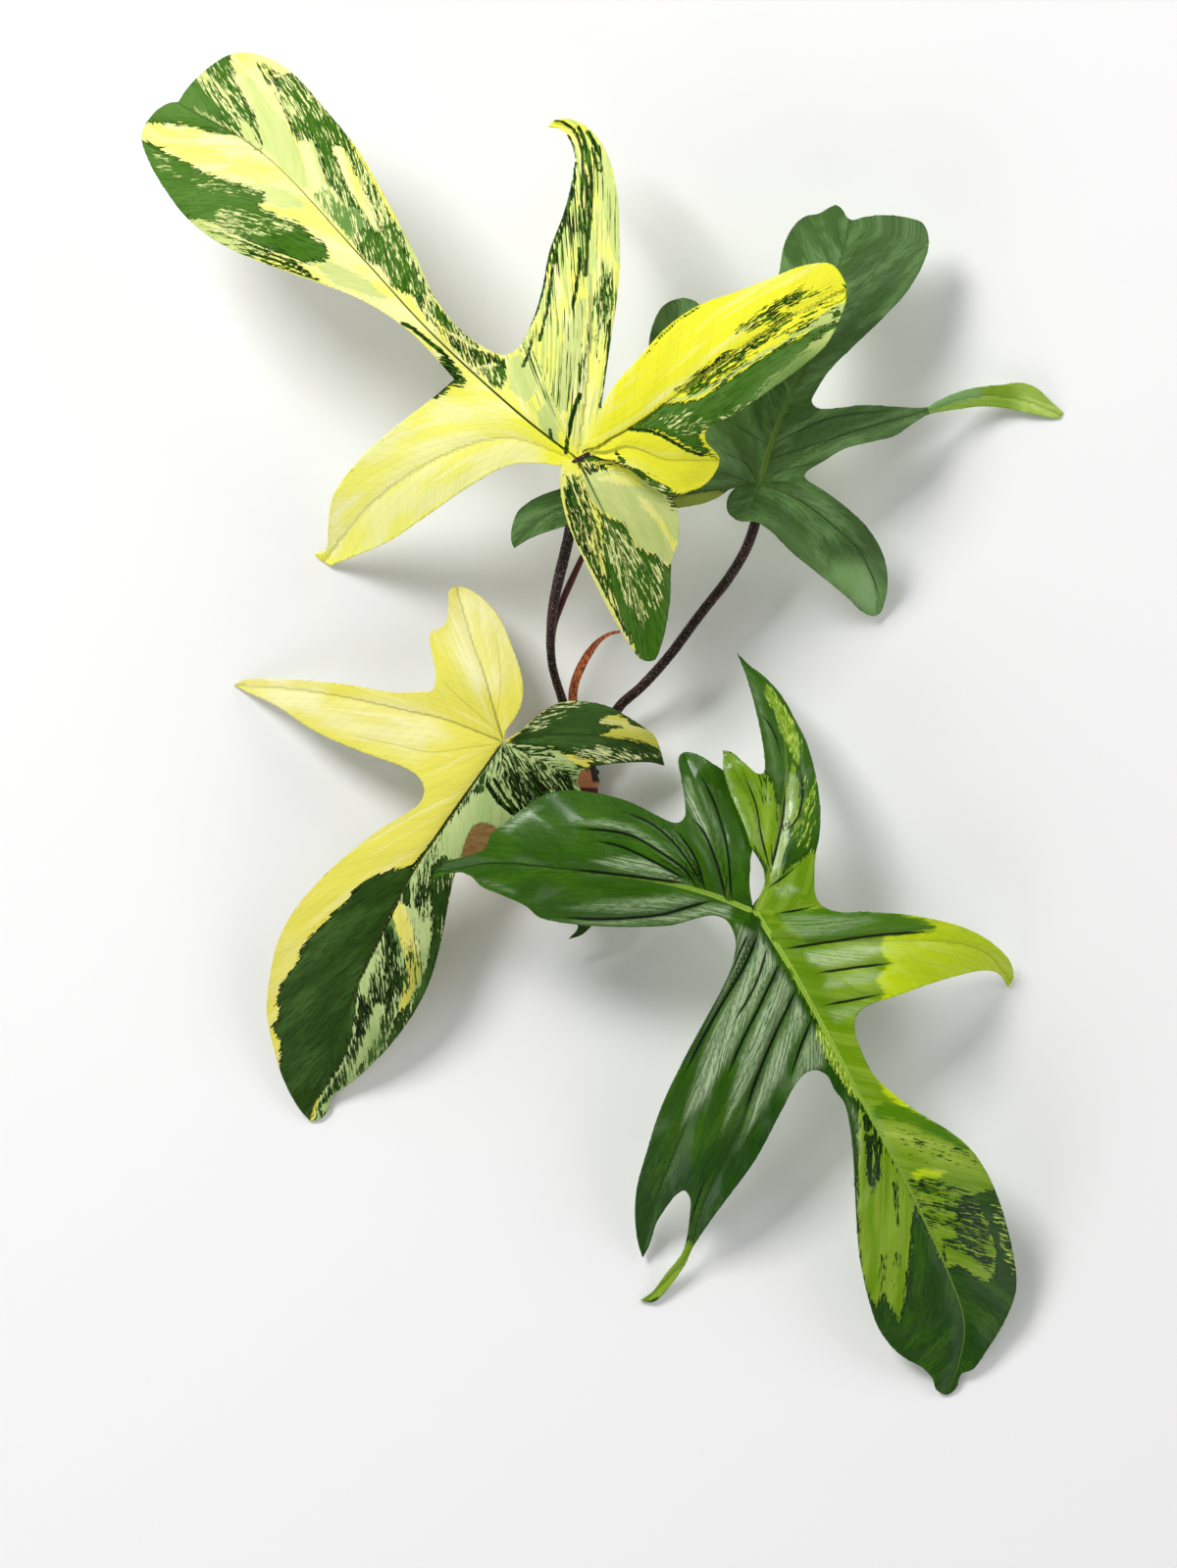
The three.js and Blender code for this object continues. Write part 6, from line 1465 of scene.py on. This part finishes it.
LOWER_RIGHT["patches"] = [
    ("green", [(-80, -220), (200, -220), (200, 90), (-80, 90)]),
    ("pale", [(60, -21.5), (62, -14), (65, -7), (70, -10), (76, -5), (80, -3), (84, -18), (90, -18),
        (110, -20), (125, -23), (152, -33), (154, -54), (120, -54), (100, -60), (98, -62), (100, -72),
        (108, -82), (128, -95), (146, -112), (152, -140), (142, -149.5), (138, -149), (133, -145.5),
        (128, -143), (125, -144.5), (113.4, -121.5), (97, -90), (84, -66), (74, -48)]),
    ("pale", [(48, 33), (57, 28), (60.5, 24.5), (63, 24), (65.5, 20), (67.5, 12), (67.5, 5), (66, -4),
        (64.5, -9), (62, -5), (57, 4), (51, 18)]),
    ("marble", 0.5, [(59, 24), (63, 24), (66, 20), (66, 14), (62, 14), (60, 18)]),
    # A pale stripe along the upper lobe's main vein: a painted highlight
    ("pale", [(65.5, -9), (68, -9), (71, -1), (71, 6), (75, 12), (75, 22), (72, 28), (70.4, 20), (69, 10),
        (67, 0)]),
    ("scratch", 0.38, [(74, -4), (72, 8), (76, 14), (75, 26), (80, 22), (82, 8), (80, -4)]),
    ("scratch", 0.95, [(63.6, 54), (66.6, 50.6), (70, 45.5), (72.6, 41), (75, 34), (74.6, 27), (71, 34),
        (68, 39.5), (66, 44.5), (64, 49)]),
    ("ground", [(104, -31), (112, -30.4), (120.6, -29.6), (121.4, -28.2), (117, -25.6), (110, -24.4),
        (112, -20), (150, -26), (156, -52), (118, -58), (99, -58), (104, -51), (100.6, -46), (106, -41),
        (102, -36)]),
    ("mid", [(83, -22), (95, -22), (108, -23.4), (112, -25), (118, -27), (120.6, -28.8), (112, -30.2),
        (100, -31), (88, -32.5), (78, -34), (74, -30), (66, -24)]),
    ("ground", [(100, -77), (107, -83.5), (116, -90), (126, -96), (122, -95), (114, -91.5), (108, -88.5),
        (104, -85)]),
    ("mid", [(99, -90), (104, -88), (110, -89), (118, -92.5), (126, -98), (132, -104), (126, -102),
        (118, -98), (112, -95), (106, -93), (101, -94)]),
    ("marble", 0.3, [(108, -97), (132, -103), (138, -113), (124, -113), (112, -108)]),
    ("ground", [(113.4, -111.5), (117, -110.4), (121, -111.2), (124.6, -111.4), (122, -113.6), (117.6, -113),
        (114.6, -114)]),
    ("marble", 0.7, [(128, -124), (134, -126), (140, -130), (142, -140), (140, -146), (135, -142),
        (130, -136), (127, -130)]),
    ("green", [(133, -119), (139, -118), (146, -117), (156, -140), (150, -156), (142, -150), (141, -146),
        (141.5, -138), (139, -130), (136, -124)]),
    ("scratch", 0.5, [(140, -122), (146, -124), (152, -140), (148, -150), (145, -142), (142, -132)]),
    ("marble", 0.52, [(112, -114), (124, -114.4), (136, -118), (134, -121.4), (120, -120), (113.6, -120)]),
    ("marble", 0.66, [(114, -121.4), (124, -121.4), (136, -120.6), (138, -126), (126, -125.4),
        (115.6, -124.6)]),
    ("marble", 0.62, [(117, -125.8), (126, -126.6), (138, -128), (141, -134), (130, -131.4),
        (118.4, -130.4)]),
    ("marble", 0.66, [(124, -134), (130, -134.6), (138, -138), (140.5, -144), (134, -140.4), (125, -136.4)]),
    ("stroke", 0.7, [(124.2, -135), (124, -139), (124.8, -142)]),
    ("green", [(113.4, -121.5), (118, -130), (125, -144.5), (127, -143.2), (131, -144.5), (136.5, -147.6),
        (139, -149), (140.5, -146), (160, -150), (150, -210), (90, -210), (92, -160), (97, -150), (99, -154),
        (101, -157.5), (103, -154), (104.2, -152), (105.5, -157), (107.4, -159.4), (109, -162.8),
        (110.3, -156), (111, -150), (112.2, -140), (113, -130)]),
    ("green", [(82, -76), (86, -70), (88, -79), (92, -86), (95.3, -91), (94.8, -110), (94.8, -130),
        (97.5, -150), (90, -156), (86, -110), (80, -84)]),
    ("pale", [(95.4, -90.5), (97.6, -92), (104, -104), (112.2, -117.5), (113.6, -121.5), (113, -130),
        (112.2, -140), (111, -150), (110.3, -156), (109, -162.8), (107.4, -159.4), (105.5, -157),
        (104.2, -152), (103, -154), (101, -157.5), (99, -154), (97, -149), (95.3, -136), (95, -118)]),
    ("scratch", 0.84, [(80, -62), (84, -65), (91, -77), (96, -88), (93, -86), (88, -79), (83, -71)]),
    ("stroke", 2, [(97.6, -93), (98, -97)]),
    ("marble", 0.78, [(96.8, -98.5), (102.8, -99), (103, -113), (100, -119), (98, -113)]),
    ("stroke", 1.4, [(98.4, -100), (98.6, -108), (99.4, -116)]),
    ("stroke", 1.1, [(100.8, -99), (101.6, -108), (101.6, -114)]),
    ("marble", 0.72, [(106.6, -115), (108, -115), (109.6, -123), (109.2, -129.6), (107.6, -129),
        (107.4, -122)]),
    ("marble", 0.66, [(102.2, -139), (104.2, -140), (104, -153), (102.2, -152)]),
    ("marble", 0.5, [(106.2, -138.5), (110, -139), (110, -151), (106.6, -151)]),
    ("pale", [(37.6, -134.5), (39.5, -137.5), (36, -146), (30, -153), (18, -158), (20, -153), (30, -144)]),
]
LOWER_RIGHT["cream"] = [
    # The first two washes are painted highlights: along the upper lobe's main vein, and on the right lobe
    # near the rachis
    (0.8, [(65.5, -9), (69, -9), (72, 0), (76, 12), (75, 22), (72, 28), (70, 20), (68, 6)]),
    (0.7, [(84, -34), (101, -33), (100, -50), (92, -52), (84, -50)]),
    (1.4, [(101, -94), (110, -94), (124, -101), (136, -108), (138, -114), (120, -110), (104, -101)]),
    (0.8, [(94.6, -92), (97, -93), (97.4, -104), (96, -112), (94, -108)]),
]
LOWER_RIGHT["shade"] = [
    (0.25, [(-56, 24), (20, 34), (62, 34), (58, -34), (20, -34), (-56, -30)]),
    (0.3, [(50, 68), (66, 62), (84, 34), (86, 4), (74, -8), (66, 14), (62, 28)]),
    (0.2, [(60, -30), (82, -70), (76, -80), (40, -108), (22, -100), (50, -46)]),
    (0.45, [(62, -26), (74, -27), (84, -40), (86, -52), (90, -62), (80, -58), (70, -42)]),
    (0.3, [(62, -22), (66, -10), (72, -6), (80, -6), (82, -20), (72, -24)]),
    (0.12, [(110, -32), (120, -38), (124.5, -45), (114, -48), (106, -44)]),
]
# Painted highlights: pale streaks laid between the folds, mostly near the ribs, and along some lobe edges
LOWER_RIGHT["sheen"] = [
    (0.5, [(53, -26), (60, -30), (57, -38), (53, -46), (47, -56), (38, -73), (50, -46), (53, -36)]),
    (0.62, [(61, -28), (66, -37), (68, -41), (63, -50), (58, -60), (52, -72), (44, -86), (34, -98), (37, -86),
        (43, -68), (48, -57), (54, -47), (60, -35)]),
    (0.62, [(69, -42), (73, -49), (70, -57), (65, -68), (58, -82), (48, -100), (51, -86), (55, -72),
        (60, -60), (65, -50)]),
    (0.58, [(74, -51), (78, -59), (74, -68), (70, -78), (62, -92), (54, -104), (58, -90), (65, -72),
        (70, -61)]),
    (0.45, [(79.5, -61), (84, -68), (84, -76), (77, -79), (70, -92), (74, -73)]),
    (0.6, [(2, -27.8), (20, -28), (34, -27.4), (44, -24.6), (52, -26), (52, -21), (44.5, -20), (34, -22.8),
        (20, -25), (4, -26), (-12, -25.6)]),
    (0.42, [(8, -19), (22, -17.6), (34, -16.6), (45, -18.6), (38, -21), (28, -23.4), (14, -24.2), (-8, -22)]),
    (0.5, [(14, -4), (22, -4.5), (28, -7), (34, -11), (39, -14.4), (31, -13), (22, -11.5), (12, -9), (2, -6),
        (10, -4.6)]),
    (0.5, [(8, 8.5), (18, 6.5), (26, 1.5), (32, -4), (38, -11), (33, -8), (26, -2), (17, 3.4), (6, 5.6),
        (-6, 6.4), (2, 8)]),
    (0.38, [(16, 10), (24, 8), (31, 4), (37, -4), (40, -11), (35, -3), (30, 2), (22, 7)]),
    (0.45, [(-28, 5), (-22, 9.5), (-16, 13.5), (-11, 13), (-17, 7.5), (-24, 3)]),
    (0.3, [(-38, -11.5), (-30, -14.5), (-22, -18), (-20, -16), (-30, -12)]),
    (0.8, [(35.4, 23), (37.6, 22.6), (40.5, 14), (44, 5), (45.8, -3), (43, 0), (39, 8), (36, 14)]),
    (0.3, [(38, 23), (42, 19), (47, 8), (49.5, -3), (46.6, 2), (42, 13)]),
    (0.85, [(64.8, -13), (67, -14), (70, -7), (71, 2), (74, 12), (74, 23), (71.4, 24), (70, 14), (68, 4),
        (66, -4)]),
    (0.6, [(62, 20), (64, 18.6), (66, 13), (63.6, 13.6)]),
    (0.6, [(48.8, 31), (51.2, 26), (54.6, 17), (58.6, 7), (62, -1), (59.4, 1), (56, 7), (52, 16)]),
    (0.3, [(57, 58), (61, 52), (65, 40), (67.5, 26), (66, 25), (63.6, 36), (59.6, 48)]),
    (0.3, [(72, 40), (76, 30), (78.6, 18), (76.6, 20), (74, 30)]),
    (0.35, [(68, -24), (82, -23.8), (98, -24.2), (104, -26), (88, -31), (76, -32.6), (70, -30)]),
    (0.6, [(76, -36.6), (86, -35), (95, -34), (108, -34.6), (96, -40.6), (84, -42.8), (78, -41)]),
    (0.5, [(84, -45.6), (94, -43.8), (108, -43.4), (98, -48), (88, -49.5), (82, -50)]),
    (0.35, [(84, -56.4), (92, -54.8), (103, -54), (95, -58), (87, -62)]),
    (0.4, [(66, -14.6), (72, -13), (76, -16), (70, -19), (66, -18)]),
    (0.55, [(90.6, -86), (93.4, -89), (95.6, -92), (96.4, -100), (96, -112), (94.6, -104), (93.4, -95)]),
]
lower_right_skin = leaf_skin(
    "lower_right_skin",
    [(196, 220, 8), (200, 222, 96), (110, 150, 2), (74, 124, 6), (33, 76, 3), (10, 36, 3), (204, 224, 180)],
    (5, 20, 3), (156, 192, 66), 0.32, 0.3, soft=0.9, rib_width=1.15, vein_shade=0.08, fold_shade=0.95,
    gloss=0.1,
)
grow_leaf(
    "lower_right", LOWER_RIGHT, lower_right_skin,
    ((130, 158, 66), (160, 184, 96)), (142, 170, 76),
)

# Floor, light and camera: a plain white floor, four soft boxes round the plant, the strongest at the
# upper left, a dim sky, and the eye straight above.
floor_skin, tree, shader = new_material("floor_skin", 0.9, gloss=0.1)
shader.inputs["Base Color"].default_value = tint(248, 248, 248)
bm = bmesh.new()
bmesh.ops.create_grid(bm, x_segments=1, y_segments=1, size=2.5)
floor_mesh = bpy.data.meshes.new("floor")
bm.to_mesh(floor_mesh)
bm.free()
floor_mesh.materials.append(floor_skin)
floor = bpy.data.objects.new("floor", floor_mesh)
bpy.context.scene.collection.objects.link(floor)

world = bpy.data.worlds.new("studio")
world.use_nodes = True
tree = world.node_tree
tree.nodes["Background"].inputs["Color"].default_value = (1, 1, 1, 1)
upwards = node(tree, "SeparateXYZ", {0: node(tree, "TexCoord").outputs["Generated"]})
sky = node(
    tree, "MapRange",
    {"Value": upwards.outputs[2], "From Min": 0.2, "From Max": 0.9, "To Min": 0.6, "To Max": 0.12},
)
tree.links.new(sky.outputs[0], tree.nodes["Background"].inputs["Strength"])
bpy.context.scene.world = world


def soft_box(name, place, size, power):
    """A square soft light that faces the plant."""
    light = bpy.data.lights.new(name, "AREA")
    light.shape = "RECTANGLE"
    light.size = light.size_y = size
    light.energy = power
    box = bpy.data.objects.new(name, light)
    box.location = place
    box.rotation_euler = (-Vector(place)).to_track_quat("-Z", "Y").to_euler()
    bpy.context.scene.collection.objects.link(box)


soft_box("key_box", (-0.8, 1.0, 1.4), 0.6, 24)
soft_box("right_box", (1.2, 0.9, 1.1), 1, 7)
soft_box("low_right_box", (1.1, -1.2, 1.0), 1, 3)
soft_box("low_left_box", (-1.2, -1.1, 1.0), 1, 7)

VIEW_HEIGHT_MM = 533
camera_data = bpy.data.cameras.new("eye")
camera_data.sensor_fit = "VERTICAL"
camera_data.sensor_height = 24
camera_data.lens = camera_data.sensor_height * EYE.z / VIEW_HEIGHT_MM
camera_data.clip_end = 20
camera = bpy.data.objects.new("eye", camera_data)
camera.location = EYE * MM
bpy.context.scene.collection.objects.link(camera)
bpy.context.scene.camera = camera
bpy.context.scene.view_settings.view_transform = "Standard"
